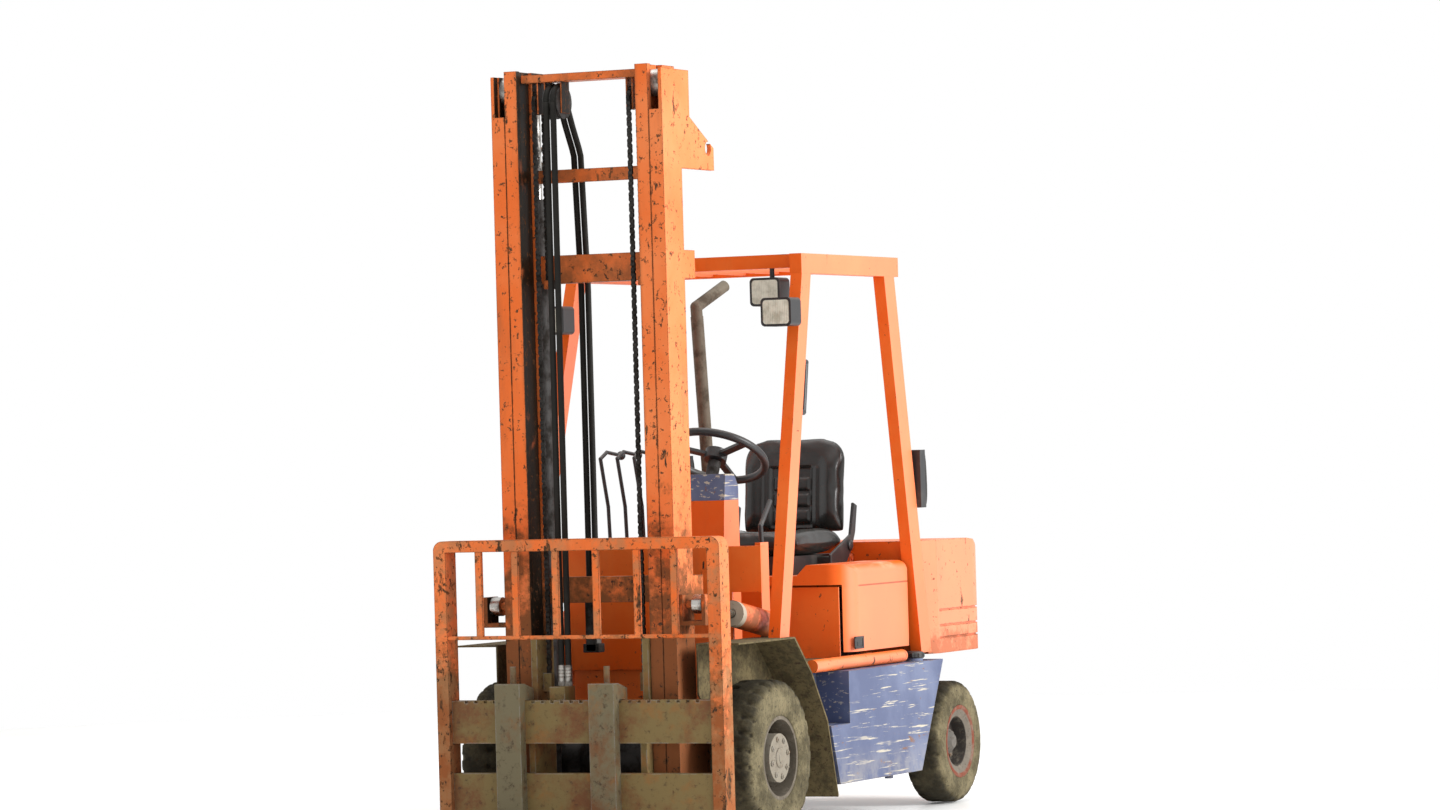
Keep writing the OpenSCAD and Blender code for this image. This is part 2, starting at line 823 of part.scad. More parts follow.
// One strip of leaf chain from z0 up to z1 with notched edges
module chain_run(y, z0, z1) {
  n = floor((z1 - z0) / 25.4);
  p = (z1 - z0) / n;
  across(chain_x - chain_w / 2, chain_x + chain_w / 2)
    polygon(concat(
      [for (i = [0 : 2 * n]) [y - (i % 2 == 0 ? 4.5 : 7.5), z0 + i * p / 2]],
      [for (i = [2 * n : -1 : 0]) [y + (i % 2 == 0 ? 4.5 : 7.5), z0 + i * p / 2]]
    ));
}

module lift_chains() {
  color("black") both_sides() {
    chain_run(pulley_y - sheave_r - 4, 605, sheave_z);
    chain_run(pulley_y + sheave_r + 4, anchor_z + 0.4, sheave_z);
    translate([chain_x, pulley_y, sheave_z]) rotate([90, 0, 90])
      translate([0, 0, -chain_w / 2]) linear_extrude(chain_w) intersection() {
        difference() {
          circle(r = sheave_r + 10);
          circle(r = sheave_r - 3.6);
        }
        translate([-60, 0]) square([120, 60]);
      }
  }
}

module mast_hoses() {
  front = pulley_y - pulley_r;
  back = pulley_y + pulley_r;
  color("black") for (x = [hose_x - 13.5, hose_x + 13.5]) {
    translate([x, front, 560]) cylinder(h = sheave_z - 560, r = hose_r);
    intersection() {
      translate([x, pulley_y, sheave_z]) rotate([0, 90, 0]) rotate_extrude()
        translate([pulley_r, 0]) circle(r = hose_r);
      translate([x - 50, pulley_y - 100, sheave_z]) cube([100, 200, 100]);
    }
    bent_rod([
      [x, back, sheave_z + 0.1], [x, back, sheave_z - 30],
      [x, hose_back_y, sheave_z - 230], [x, hose_back_y, 700]
    ], hose_r);
  }
}

// Carriage
module carriage_frame() {
  color("sienna") {
    difference() {
      union() {
        box([-carriage_w / 2, carriage_w / 2], [bar_front, bar_back], [bar_top - 152, bar_top]);
        box([-carriage_w / 2, carriage_w / 2], [bar_front, bar_back], [carriage_z, carriage_z + 149]);
      }
      for (i = [-12 : 12]) box([i * 38 - 7, i * 38 + 7], [bar_front - 1, bar_front + 14], [bar_top - 9, bar_top + 1]);
    }
    both_sides() {
      // Roller plate, stepped back behind the fork hooks
      across(plate_x - plate_t, plate_x)
        polygon([
          [bar_back - 1, carriage_z + 20], [rail_back - 32, carriage_z + 20], [rail_back - 32, plate_top],
          [bar_back + 32, plate_top], [bar_back + 32, bar_top - 32], [bar_back - 1, bar_top - 32]
        ]);
      for (z = [carriage_z + 80, plate_top - 90])
        cross_pin(plate_x - 1, inner_in + 14, rail_mid, z, roller_d / 2);
      // Chain anchor
      box([chain_x - 12, plate_x - plate_t + 1], [pulley_y - sheave_r - 16, pulley_y - sheave_r + 8], [540, 605]);
    }
    // Hose anchor
    box([hose_x - 30, hose_x + 30], [bar_back - 1, pulley_y - pulley_r + 14], [480, 560]);
  }
}

module load_backrest() {
  x = tank_w / 2 + 4;
  front = bar_front - 20;
  leg_x = carriage_w / 2;
  color("sienna") {
    both_sides() {
      box([leg_x, x], [front, front + 78], [carriage_z + 3, backrest_z - 34]);
      for (bar = [80, 240, 385]) box([bar - 13, bar + 13], [front + 2, front + 14], [732, backrest_z - 40]);
    }
    lengthwise(front, front + 78) difference() {
      round_rect([-x, x], [backrest_z - 100, backrest_z], 35);
      translate([-leg_x, backrest_z - 101]) square([2 * leg_x, 60]);
    }
    cross_pin(-leg_x - 1, leg_x + 1, front + 8, 738, 7);
  }
}

module fork(x) {
  low = carriage_z - 76;
  translate([x - fork_w / 2, 0, 0]) {
    across(0, fork_w)
      polygon([
        [tip_y, low], [fork_face + fork_t, low], [fork_face + fork_t, bar_top + 60],
        [fork_face, bar_top + 60], [fork_face, low + fork_t], [tip_y + 350, low + fork_t],
        [tip_y, low + 12]
      ]);
    // Hooks over and under the carriage bars
    across(0, fork_w)
      polygon([
        [bar_front - 1, bar_top + 2], [bar_back + 3, bar_top + 2], [bar_back + 3, bar_top - 25],
        [bar_back + 25, bar_top - 25], [bar_back + 25, bar_top + 40], [bar_front - 1, bar_top + 60]
      ]);
    box([10, fork_w - 10], [bar_front - 1, bar_back + 15], [carriage_z - 30, carriage_z - 2]);
    translate([fork_w / 2, bar_front + 12, bar_top + 40]) cylinder(h = 80, r = 11);
  }
}

module forks() {
  color("sienna") {
    fork(fork_right_x);
    fork(fork_left_x);
  }
}

// Tilt cylinders, drawn on the left side along +X from the rear pin
module tilt_frame() {
  translate([tilt_x, tilt_y, tilt_z]) rotate([-tilt_angle, 0, 0]) rotate([90, 0, 0]) children();
}

module tilt_barrel() {
  color("orangered") tilt_frame() difference() {
    union() {
      translate([0, 0, 45]) cylinder(h = 300, r = 47);
      rotate([0, 90, 0]) translate([0, 0, -22]) cylinder(h = 44, r = 32);
      translate([-22, -28, 0]) cube([44, 56, 60]);
    }
    translate([0, 0, 70]) cylinder(h = 300, r = 17);
    rotate([0, 90, 0]) translate([0, 0, -30]) cylinder(h = 60, r = 14);
  }
}

module tilt_rod() {
  color("silver") tilt_frame() difference() {
    union() {
      translate([0, 0, 210]) cylinder(h = tilt_len - 210 - 20, r = 16);
      translate([0, 0, tilt_len]) rotate([0, 90, 0]) translate([0, 0, -18]) cylinder(h = 36, r = 34);
    }
    translate([0, 0, tilt_len]) rotate([0, 90, 0]) translate([0, 0, -30]) cylinder(h = 60, r = tilt_pin_r + 3);
  }
}

module in_frame() {
  translate([0, -mid_y, 0]) children();
}

module right() {
  mirror([1, 0, 0]) children();
}

in_frame() frame();
in_frame() floor_plate();
in_frame() front_bulkhead();
in_frame() dash_pedestal();
in_frame() column_cover();
in_frame() steering_column();
in_frame() control_levers();
in_frame() front_fenders();
in_frame() side_tanks();
in_frame() toe_panel();
in_frame() engine_block();
in_frame() counterweight();
in_frame() tow_pin();
in_frame() drive_axle();
in_frame() steer_axle();
in_frame() guard_legs();
in_frame() guard_roof();
in_frame() lamp_housings();
in_frame() lamp_lenses();
in_frame() grab_handle();
in_frame() exhaust_stack();
in_frame() hood_shell();
in_frame() seat_base();
in_frame() seat_cushion();
in_frame() seat_back();
in_frame() steering_wheel();
in_frame() front_tyre();  // front_tyre_left
in_frame() front_rim();  // front_rim_left
in_frame() right() front_tyre();  // front_tyre_right
in_frame() right() front_rim();  // front_rim_right
in_frame() rear_tyre();  // rear_tyre_left
in_frame() rear_rim();  // rear_rim_left
in_frame() right() rear_tyre();  // rear_tyre_right
in_frame() right() rear_rim();  // rear_rim_right
in_frame() knuckle();  // knuckle_left
in_frame() right() knuckle();  // knuckle_right
in_frame() outer_mast();
in_frame() outer_rollers();
in_frame() lift_barrels();
in_frame() inner_mast();
in_frame() inner_rollers();
in_frame() lift_rods();
in_frame() mast_sheaves();
in_frame() lift_chains();
in_frame() mast_hoses();
in_frame() carriage_frame();
in_frame() load_backrest();
in_frame() forks();
in_frame() tilt_barrel();  // tilt_barrel_left
in_frame() right() tilt_barrel();  // tilt_barrel_right
in_frame() tilt_rod();  // tilt_rod_left
in_frame() right() tilt_rod();  // tilt_rod_right
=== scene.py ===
"""Looks of the lift truck: worn paint, rust, grease, tyres, chains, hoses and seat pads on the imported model."""

import json
import math

import bmesh
import bpy
from mathutils import Matrix, Vector
from mathutils import noise as lattice


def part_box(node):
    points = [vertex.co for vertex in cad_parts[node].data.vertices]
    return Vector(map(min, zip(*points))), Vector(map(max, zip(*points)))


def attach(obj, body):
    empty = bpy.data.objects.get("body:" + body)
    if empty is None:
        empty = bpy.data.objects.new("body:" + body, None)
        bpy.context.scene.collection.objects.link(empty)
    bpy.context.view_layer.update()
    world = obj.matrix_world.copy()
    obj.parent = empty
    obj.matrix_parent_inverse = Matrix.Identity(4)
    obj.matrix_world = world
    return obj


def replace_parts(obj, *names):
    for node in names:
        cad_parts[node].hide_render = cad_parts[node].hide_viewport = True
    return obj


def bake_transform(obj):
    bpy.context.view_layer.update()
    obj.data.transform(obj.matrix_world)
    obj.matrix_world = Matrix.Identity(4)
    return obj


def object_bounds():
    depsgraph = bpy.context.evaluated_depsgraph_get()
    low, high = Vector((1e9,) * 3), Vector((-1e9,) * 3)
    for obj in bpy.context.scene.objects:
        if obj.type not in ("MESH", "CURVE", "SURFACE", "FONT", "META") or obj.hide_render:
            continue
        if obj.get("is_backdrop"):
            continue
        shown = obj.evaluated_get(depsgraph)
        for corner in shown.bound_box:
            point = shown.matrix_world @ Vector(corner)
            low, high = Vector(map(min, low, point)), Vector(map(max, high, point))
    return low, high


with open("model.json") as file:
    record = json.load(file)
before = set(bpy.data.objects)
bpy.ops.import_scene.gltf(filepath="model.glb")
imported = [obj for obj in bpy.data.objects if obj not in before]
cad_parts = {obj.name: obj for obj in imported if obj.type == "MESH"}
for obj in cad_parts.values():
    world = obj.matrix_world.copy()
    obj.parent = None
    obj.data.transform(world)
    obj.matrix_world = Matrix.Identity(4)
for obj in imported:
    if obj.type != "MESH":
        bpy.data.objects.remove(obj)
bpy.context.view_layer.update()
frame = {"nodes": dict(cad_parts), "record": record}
nodes = frame["nodes"]

# Colours, linear
ORANGE = (0.74, 0.103, 0.009)
ORANGE_FADED = (0.77, 0.158, 0.028)
ORANGE_DULL = (0.73, 0.140, 0.026)
ORANGE_CHALK = (0.77, 0.215, 0.068)
# Pale salmon of the painted sheen on faces that look sideways
SIDE_SHEEN = (0.78, 0.235, 0.125)
# Pale tint of the painted highlight on upward faces
TOP_HIGHLIGHT = (0.84, 0.50, 0.34)
BLUE = (0.056, 0.074, 0.152)
BLUE_FADED = (0.110, 0.135, 0.225)
PRIMER = (0.44, 0.40, 0.32)
RUST = (0.155, 0.062, 0.024)
RUST_DARK = (0.050, 0.030, 0.018)
MUD = (0.105, 0.076, 0.040)
DUST = (0.30, 0.27, 0.22)
GREASE = (0.014, 0.010, 0.006)
STEEL = (0.33, 0.31, 0.28)
BLACK = (0.014, 0.014, 0.015)

# Places on the mast, in metres
SHEAVE_Y, SHEAVE_Z = -0.540, 2.638
CHAIN_X, CHAIN_REACH = 0.188, 0.037
CHAIN_FRONT_FOOT, CHAIN_REAR_FOOT = 0.6054, 2.0064
PULLEY_R = 0.058
HOSE_X, HOSE_R = (-0.1285, -0.1015), 0.011
HOSE_BACK_Y = -0.360
HOSE_FRONT_FOOT, HOSE_REAR_FOOT = 0.5604, 0.7004
TIE_BACK_Y = -0.3895

# Places on the body, in metres
SEAT_X = 0.030
CUSHION_Y = 0.8365
BACK_Z, BACK_HEIGHT = 1.2355, 0.372
HOOD_X = 0.500
REAR_LAMP_X = 0.4895
FILLER = (0.520, 1.076, 0.572)

UP = Vector((0, 0, 1))


class Look:
    """A material and short calls for the nodes it is built from."""

    def __init__(self, name):
        self.material = bpy.data.materials.new(name)
        self.material.use_nodes = True
        self.tree = self.material.node_tree
        self.shader = self.tree.nodes["Principled BSDF"]
        self.coords = self.tree.nodes.new("ShaderNodeTexCoord")
        self.place = self.coords.outputs["Object"]

    def node(self, kind, **inputs):
        made = self.tree.nodes.new(kind)
        for key, value in inputs.items():
            self.put(made.inputs[key.replace("_", " ")], value)
        return made

    def put(self, socket, value):
        if isinstance(value, bpy.types.NodeSocket):
            self.tree.links.new(value, socket)
        elif isinstance(value, tuple) and len(value) == 3 and socket.type == "RGBA":
            socket.default_value = (*value, 1)
        else:
            socket.default_value = value

    def set(self, **inputs):
        for key, value in inputs.items():
            self.put(self.shader.inputs[key.replace("_", " ")], value)

    def math(self, operation, a, b=0.0):
        made = self.tree.nodes.new("ShaderNodeMath")
        made.operation = operation
        self.put(made.inputs[0], a)
        self.put(made.inputs[1], b)
        return made.outputs[0]

    def axes(self, vector=None):
        made = self.node("ShaderNodeSeparateXYZ", Vector=vector or self.place)
        return made.outputs[0], made.outputs[1], made.outputs[2]

    def stretched(self, scale):
        made = self.tree.nodes.new("ShaderNodeMapping")
        self.put(made.inputs["Vector"], self.place)
        made.inputs["Scale"].default_value = scale
        return made.outputs[0]

    def noise(self, scale, detail=4.0, rough=0.6, stretch=None):
        vector = self.stretched(stretch) if stretch else self.place
        made = self.node("ShaderNodeTexNoise", Vector=vector, Scale=scale, Detail=detail, Roughness=rough)
        return made.outputs["Fac"]

    def fade(self, value, low, high):
        """0 where value is at low, 1 at high."""
        made = self.tree.nodes.new("ShaderNodeMapRange")
        made.interpolation_type = "SMOOTHSTEP"
        self.put(made.inputs["Value"], value)
        self.put(made.inputs["From Min"], low)
        self.put(made.inputs["From Max"], high)
        return made.outputs["Result"]

    def mix(self, share, a, b):
        made = self.tree.nodes.new("ShaderNodeMix")
        made.data_type = "RGBA"
        self.put(made.inputs["Factor"], share)
        self.put(made.inputs[6], a)
        self.put(made.inputs[7], b)
        return made.outputs[2]

    def edges(self, radius):
        """1 along sharp outer edges, from how far a rounded normal turns."""
        bevel = self.tree.nodes.new("ShaderNodeBevel")
        bevel.samples = 4
        bevel.inputs["Radius"].default_value = radius
        geometry = self.tree.nodes.new("ShaderNodeNewGeometry")
        turn = self.tree.nodes.new("ShaderNodeVectorMath")
        turn.operation = "DOT_PRODUCT"
        self.put(turn.inputs[0], bevel.outputs[0])
        self.put(turn.inputs[1], geometry.outputs["True Normal"])
        return self.fade(turn.outputs["Value"], 0.99, 0.80)

    def bump(self, height, strength, distance):
        made = self.node("ShaderNodeBump", Height=height, Strength=strength, Distance=distance)
        self.put(self.shader.inputs["Normal"], made.outputs[0])

    def inward(self):
        """1 on faces that look towards the truck's middle plane."""
        x = self.axes()[0]
        nx = self.axes(self.coords.outputs["Normal"])[0]
        return self.fade(self.math("MULTIPLY", self.math("SIGN", x), nx), -0.3, -0.8)


def worn_paint(
    name, paint, faded, chips=0.5, grime=0.5, low=0.0, high=1.0, roughness=0.40, side_sheen=0.5, shine=0.35, extra=None
):
    """Faded paint with a painted sheen on its side faces, chips, rust spots and dirt that thickens from height high
    down to low.
    """
    look = Look(name)
    z = look.axes()[2]
    side = look.fade(look.math("ABSOLUTE", look.axes(look.coords.outputs["Normal"])[0]), 0.5, 0.95)
    colour = look.mix(look.fade(look.noise(2.2, 5.0), 0.35, 0.72), paint, faded)
    # Painted sheen: faces that look sideways are mixed towards pale salmon, as if lit by the white surround
    colour = look.mix(look.math("MULTIPLY", side, side_sheen), colour, SIDE_SHEEN)
    # Streaks that run down
    streak = look.fade(look.noise(9.0, 5.0, 0.65, (1.0, 1.0, 0.16)), 0.54, 0.78)
    colour = look.mix(look.math("MULTIPLY", streak, 0.40 * grime), colour, MUD)
    # Dirt low down
    depth = look.fade(z, high, low)
    cut = look.math("SUBTRACT", 0.95, look.math("MULTIPLY", depth, 0.62))
    dirty = look.fade(look.noise(13.0, 8.0, 0.72), look.math("SUBTRACT", cut, 0.22), cut)
    colour = look.mix(look.math("MULTIPLY", dirty, grime), colour, RUST)
    if extra:
        colour = extra(look, colour)
    # Chips: small spots, and broken edges
    spot = look.fade(look.noise(46.0, 6.0, 0.7), 0.70 - 0.11 * chips, 0.74 - 0.11 * chips)
    scuff = look.fade(look.noise(17.0, 7.0, 0.72, (1.0, 1.0, 0.35)), 0.70 - 0.09 * chips, 0.73 - 0.09 * chips)
    broken = look.fade(look.noise(28.0, 6.0, 0.75), 0.66 - 0.25 * chips, 0.74 - 0.25 * chips)
    edge = look.math("MULTIPLY", look.edges(0.006), broken)
    chip = look.math("MAXIMUM", look.math("MAXIMUM", spot, scuff), edge)
    bare = look.mix(look.fade(look.noise(60.0, 3.0), 0.4, 0.6), RUST_DARK, RUST)
    colour = look.mix(chip, colour, bare)
    wear = look.math("MAXIMUM", chip, dirty)
    rough = look.math("ADD", roughness, look.math("MULTIPLY", wear, 0.38))
    gloss = look.math("ADD", 0.12, look.math("MULTIPLY", side, shine))
    look.set(Base_Color=colour, Roughness=rough, Specular_IOR_Level=gloss)
    relief = look.math("SUBTRACT", look.math("MULTIPLY", look.noise(120.0, 3.0), 0.12), chip)
    look.bump(relief, 0.35, 0.0006)
    return look.material


def greased(look, colour):
    """Mast paint: black grease inside the rails, brown film on what joins them."""
    x = look.math("ABSOLUTE", look.axes()[0])
    film = look.math("MULTIPLY", look.fade(x, 0.250, 0.225), look.fade(look.noise(6.0, 7.0, 0.7), 0.34, 0.66))
    colour = look.mix(look.math("MULTIPLY", film, 0.72), colour, (0.135, 0.062, 0.024))
    grease = look.math("MULTIPLY", look.inward(), look.fade(look.noise(4.0, 6.0), 0.22, 0.40))
    return look.mix(grease, colour, GREASE)


def pale_top_highlight(look, colour):
    """Hood paint: a painted highlight, paler in patches on its upward faces."""
    up = look.fade(look.axes(look.coords.outputs["Normal"])[2], 0.25, 0.75)
    # Painted highlight: upward faces are made paler in noisy patches
    top_light = look.math("MULTIPLY", up, look.fade(look.noise(7.0, 7.0, 0.7, (1.0, 0.5, 1.0)), 0.46, 0.62))
    return look.mix(look.math("MULTIPLY", top_light, 0.42), colour, TOP_HIGHLIGHT)


def pressed(look, colour):
    """Hood paint: the line pressed in under its shoulder is a thin dark line of painted shade, over the painted
    highlight on its upper faces.
    """
    x, y, z = look.axes()
    # Painted shade of the pressed-in groove, drawn only in colour
    line = look.fade(look.math("ABSOLUTE", look.math("SUBTRACT", z, 0.864)), 0.0042, 0.0018)
    line = look.math("MULTIPLY", line, look.fade(look.math("ABSOLUTE", x), 0.490, 0.498))
    line = look.math("MULTIPLY", line, look.fade(y, 0.600, 0.625))
    return look.mix(look.math("MULTIPLY", line, 0.75), pale_top_highlight(look, colour), (0.20, 0.035, 0.008))


def bare_gland(look, colour):
    """Tilt cylinder paint: the front end is a bare, dusty gland."""
    return look.mix(look.fade(look.axes()[1], -0.258, -0.264), colour, (0.36, 0.31, 0.24))


def dusty(look, colour):
    """Backrest paint: tan dust and surface rust in broad patches."""
    patch = look.fade(look.noise(8.0, 7.0, 0.7), 0.42, 0.60)
    return look.mix(look.math("MULTIPLY", patch, 0.6), colour, (0.330, 0.175, 0.080))


def rusty_steel(name, base, share=0.6, roughness=0.72):
    """Bare or barely painted steel under rust and rubbed dirt."""
    look = Look(name)
    broad = look.noise(4.5, 7.0, 0.7)
    fine = look.noise(38.0, 7.0, 0.75)
    colour = look.mix(look.fade(broad, 0.62 - 0.35 * share, 0.80 - 0.30 * share), base, RUST)
    colour = look.mix(look.fade(fine, 0.52, 0.72), colour, RUST_DARK)
    flush = look.math("MULTIPLY", look.fade(look.noise(7.0, 6.0, 0.7), 0.52, 0.66), 0.6)
    colour = look.mix(flush, colour, (0.255, 0.105, 0.028))
    rub = look.math("MULTIPLY", look.edges(0.008), look.fade(look.noise(20.0, 4.0), 0.40, 0.58))
    colour = look.mix(look.math("MULTIPLY", rub, 0.75), colour, STEEL)
    metal = look.math("MULTIPLY", rub, 0.7)
    look.set(Base_Color=colour, Metallic=metal, Roughness=roughness, Specular_IOR_Level=0.25)
    look.bump(look.math("ADD", fine, look.math("MULTIPLY", broad, 0.5)), 0.5, 0.0012)
    return look.material


def dull_metal(name, base, dirt, roughness=0.4, metallic=0.8):
    """Plain metal with oily patches."""
    look = Look(name)
    patch = look.fade(look.noise(14.0, 6.0, 0.68), 0.42, 0.66)
    look.set(Base_Color=look.mix(patch, base, dirt), Metallic=metallic)
    look.set(Roughness=look.math("ADD", roughness, look.math("MULTIPLY", patch, 0.3)))
    look.bump(look.noise(90.0, 4.0), 0.2, 0.0004)
    return look.material


def moulded(name, base, dust=0.25, roughness=0.5, grain=900.0, shine=0.5):
    """Moulded plastic, rubber or vinyl with a fine grain and some dust on top."""
    look = Look(name)
    up = look.fade(look.axes(look.coords.outputs["Normal"])[2], 0.2, 0.95)
    patch = look.math("ADD", look.math("MULTIPLY", up, 0.6), look.fade(look.noise(11.0, 6.0), 0.5, 0.8))
    soil = look.math("MULTIPLY", patch, dust)
    look.set(Base_Color=look.mix(soil, base, DUST), Specular_IOR_Level=shine)
    look.set(Roughness=look.math("ADD", roughness, look.math("MULTIPLY", soil, 0.4)))
    pores = look.node("ShaderNodeTexVoronoi", Vector=look.place, Scale=grain)
    look.bump(pores.outputs["Distance"], 0.15, 0.0004)
    return look.material


def from_axle(look, centre):
    """How far a point lies from the wheel's axle."""
    _, y, z = look.axes()
    y = look.math("SUBTRACT", y, centre.y)
    z = look.math("SUBTRACT", z, centre.z)
    return look.math("SQRT", look.math("ADD", look.math("MULTIPLY", y, y), look.math("MULTIPLY", z, z)))


def tyre_rubber(name, centre, radius):
    """Cracked rubber: pale dust on the walls, a darker crown, and painted shade in its hollows."""
    look = Look(name)
    out = from_axle(look, centre)
    crumb = look.noise(55.0, 7.0, 0.75)
    cloud = look.math("ADD", look.noise(9.0, 6.0), look.math("MULTIPLY", crumb, 0.5))
    wall = look.mix(look.fade(cloud, 0.58, 0.98), (0.062, 0.051, 0.027), (0.180, 0.150, 0.085))
    crown = look.mix(look.fade(cloud, 0.60, 1.0), (0.024, 0.020, 0.012), (0.072, 0.060, 0.034))
    colour = look.mix(look.fade(out, 0.88 * radius, 0.955 * radius), wall, crown)
    colour = look.mix(look.fade(look.noise(85.0, 6.0, 0.7), 0.54, 0.68), colour, (0.030, 0.026, 0.019))
    # Painted shade: concave spots between the shoulder blocks are darkened
    hollow_shade = look.fade(look.node("ShaderNodeNewGeometry").outputs["Pointiness"], 0.495, 0.44)
    colour = look.mix(look.math("MULTIPLY", hollow_shade, 0.8), colour, (0.020, 0.017, 0.013))
    look.set(Base_Color=colour, Roughness=0.92, Specular_IOR_Level=0.2)
    cracks = look.node("ShaderNodeTexVoronoi", Vector=look.place, Scale=120.0)
    look.bump(look.math("ADD", crumb, look.math("MULTIPLY", cracks.outputs["Distance"], 0.4)), 0.8, 0.003)
    return look.material


def rim_paint(name, centre, bands):
    """Caked rim: bands are (outer radius, colour) from the hub out."""
    look = Look(name)
    out = from_axle(look, centre)
    colour = bands[0][1]
    for (radius, _), (_, beyond) in zip(bands, bands[1:]):
        colour = look.mix(look.fade(out, radius - 0.002, radius + 0.002), colour, beyond)
    cake = look.noise(24.0, 8.0, 0.74)
    colour = look.mix(look.math("MULTIPLY", look.fade(cake, 0.46, 0.66), 0.7), colour, (0.175, 0.150, 0.115))
    colour = look.mix(look.fade(look.noise(70.0, 5.0, 0.7), 0.56, 0.72), colour, RUST_DARK)
    look.set(Base_Color=colour, Roughness=0.85, Specular_IOR_Level=0.25)
    look.bump(cake, 0.6, 0.003)
    return look.material


def scratched_paint(name, paint, faded):
    """Faded paint with long level scratches down to primer and rust."""
    look = Look(name)
    colour = look.mix(look.fade(look.noise(3.0, 5.0), 0.38, 0.68), paint, faded)
    line = look.noise(34.0, 6.0, 0.66, (1.0, 0.10, 2.2))
    zone = look.fade(look.noise(3.4, 3.0), 0.34, 0.52)
    scratch = look.math("MULTIPLY", look.fade(line, 0.575, 0.605), zone)
    colour = look.mix(scratch, colour, PRIMER)
    deep = look.math("MULTIPLY", look.fade(look.noise(24.0, 6.0, 0.7, (1.0, 0.3, 1.0)), 0.63, 0.68), zone)
    colour = look.mix(deep, colour, RUST)
    edge = look.math("MULTIPLY", look.edges(0.006), look.fade(look.noise(22.0, 6.0, 0.7), 0.42, 0.52))
    colour = look.mix(edge, colour, MUD)
    low = look.fade(look.axes()[2], 0.30, 0.13)
    soil = look.math("MULTIPLY", low, look.fade(look.noise(12.0, 7.0, 0.7), 0.38, 0.62))
    colour = look.mix(look.math("MULTIPLY", soil, 0.45), colour, DUST)
    look.set(Base_Color=colour, Roughness=look.math("ADD", 0.45, look.math("MULTIPLY", scratch, 0.3)))
    dents = look.math("MULTIPLY", look.noise(5.0, 3.0), 0.6)
    look.bump(look.math("SUBTRACT", dents, look.math("MAXIMUM", scratch, deep)), 0.35, 0.001)
    return look.material


def crusted(name, paint, crust, share=0.75):
    """Paint almost hidden under dried mud."""
    look = Look(name)
    thick = look.noise(16.0, 9.0, 0.75)
    colour = look.mix(look.fade(thick, 0.72 - 0.45 * share, 0.88 - 0.40 * share), paint, crust)
    colour = look.mix(look.fade(look.noise(70.0, 5.0, 0.7), 0.50, 0.70), colour, RUST_DARK)
    look.set(Base_Color=colour, Roughness=0.9, Specular_IOR_Level=0.2)
    look.bump(thick, 0.8, 0.004)
    return look.material


def lens_glass(name):
    """Lamp glass with upright ribs, over a pale reflector."""
    look = Look(name)
    x = look.axes()[0]
    rib = look.math("SINE", look.math("MULTIPLY", x, 900.0))
    glass = look.mix(look.fade(look.noise(20.0), 0.4, 0.7), (0.62, 0.60, 0.50), (0.40, 0.38, 0.30))
    look.set(Base_Color=glass, Roughness=0.12)
    look.bump(rib, 0.4, 0.001)
    return look.material


PAINT = (ORANGE, ORANGE_FADED)
CHALKY = (ORANGE_DULL, ORANGE_CHALK)
paint_body = worn_paint("paint_body", *PAINT, chips=0.45, grime=0.40, low=0.2, high=0.9)
paint_hood = worn_paint("paint_hood", *PAINT, chips=0.30, grime=0.30, low=0.2, high=0.7, side_sheen=0.6, extra=pressed)
paint_tail = worn_paint("paint_tail", *PAINT, chips=0.75, grime=0.6, low=0.5, high=0.8, side_sheen=0.7, extra=pale_top_highlight)
paint_mast = worn_paint(
    "paint_mast", *CHALKY, chips=1.05, grime=0.9, low=0.2, high=1.9, side_sheen=0.2, shine=0.0, extra=greased
)
paint_frame = worn_paint("paint_frame", *CHALKY, chips=0.80, grime=1.0, low=0.1, high=0.62)
paint_tilt = worn_paint("paint_tilt", *PAINT, chips=0.70, grime=0.8, low=0.5, high=1.1, extra=bare_gland)
paint_rusted = worn_paint(
    "paint_rusted", *CHALKY, chips=1.20, grime=0.8, low=0.0, high=1.4, roughness=0.6, side_sheen=0.2, shine=0.0, extra=dusty
)
paint_blue = scratched_paint("paint_blue", BLUE, BLUE_FADED)
mud_fender = crusted("mud_fender", (0.066, 0.052, 0.026), (0.135, 0.105, 0.050))
fork_steel = rusty_steel("fork_steel", (0.155, 0.130, 0.075), share=0.40)
carriage_steel = rusty_steel("carriage_steel", (0.185, 0.130, 0.050), share=0.50)
dark_steel = dull_metal("dark_steel", (0.045, 0.042, 0.040), GREASE, roughness=0.55, metallic=0.4)
chain_steel = dull_metal("chain_steel", (0.030, 0.027, 0.024), GREASE, roughness=0.45, metallic=0.5)
nut_steel = rusty_steel("nut_steel", (0.200, 0.175, 0.135), share=0.30)
bright_steel = dull_metal("bright_steel", (0.42, 0.40, 0.37), (0.10, 0.085, 0.07), roughness=0.32, metallic=0.9)
rod_chrome = dull_metal("rod_chrome", (0.50, 0.48, 0.45), (0.09, 0.08, 0.07), roughness=0.2, metallic=1.0)
exhaust_steel = dull_metal("exhaust_steel", (0.12, 0.098, 0.068), (0.062, 0.048, 0.032), roughness=0.65, metallic=0.2)
hose_rubber = moulded("hose_rubber", (0.014, 0.013, 0.011), dust=0.04, roughness=0.60, shine=0.15)
black_plastic = moulded("black_plastic", BLACK, dust=0.16, roughness=0.42)
vinyl = moulded("vinyl", (0.015, 0.015, 0.014), dust=0.06, roughness=0.24, grain=1400.0)
engine_grey = dull_metal("engine_grey", (0.10, 0.10, 0.105), GREASE, roughness=0.6, metallic=0.3)
lens = lens_glass("lens")

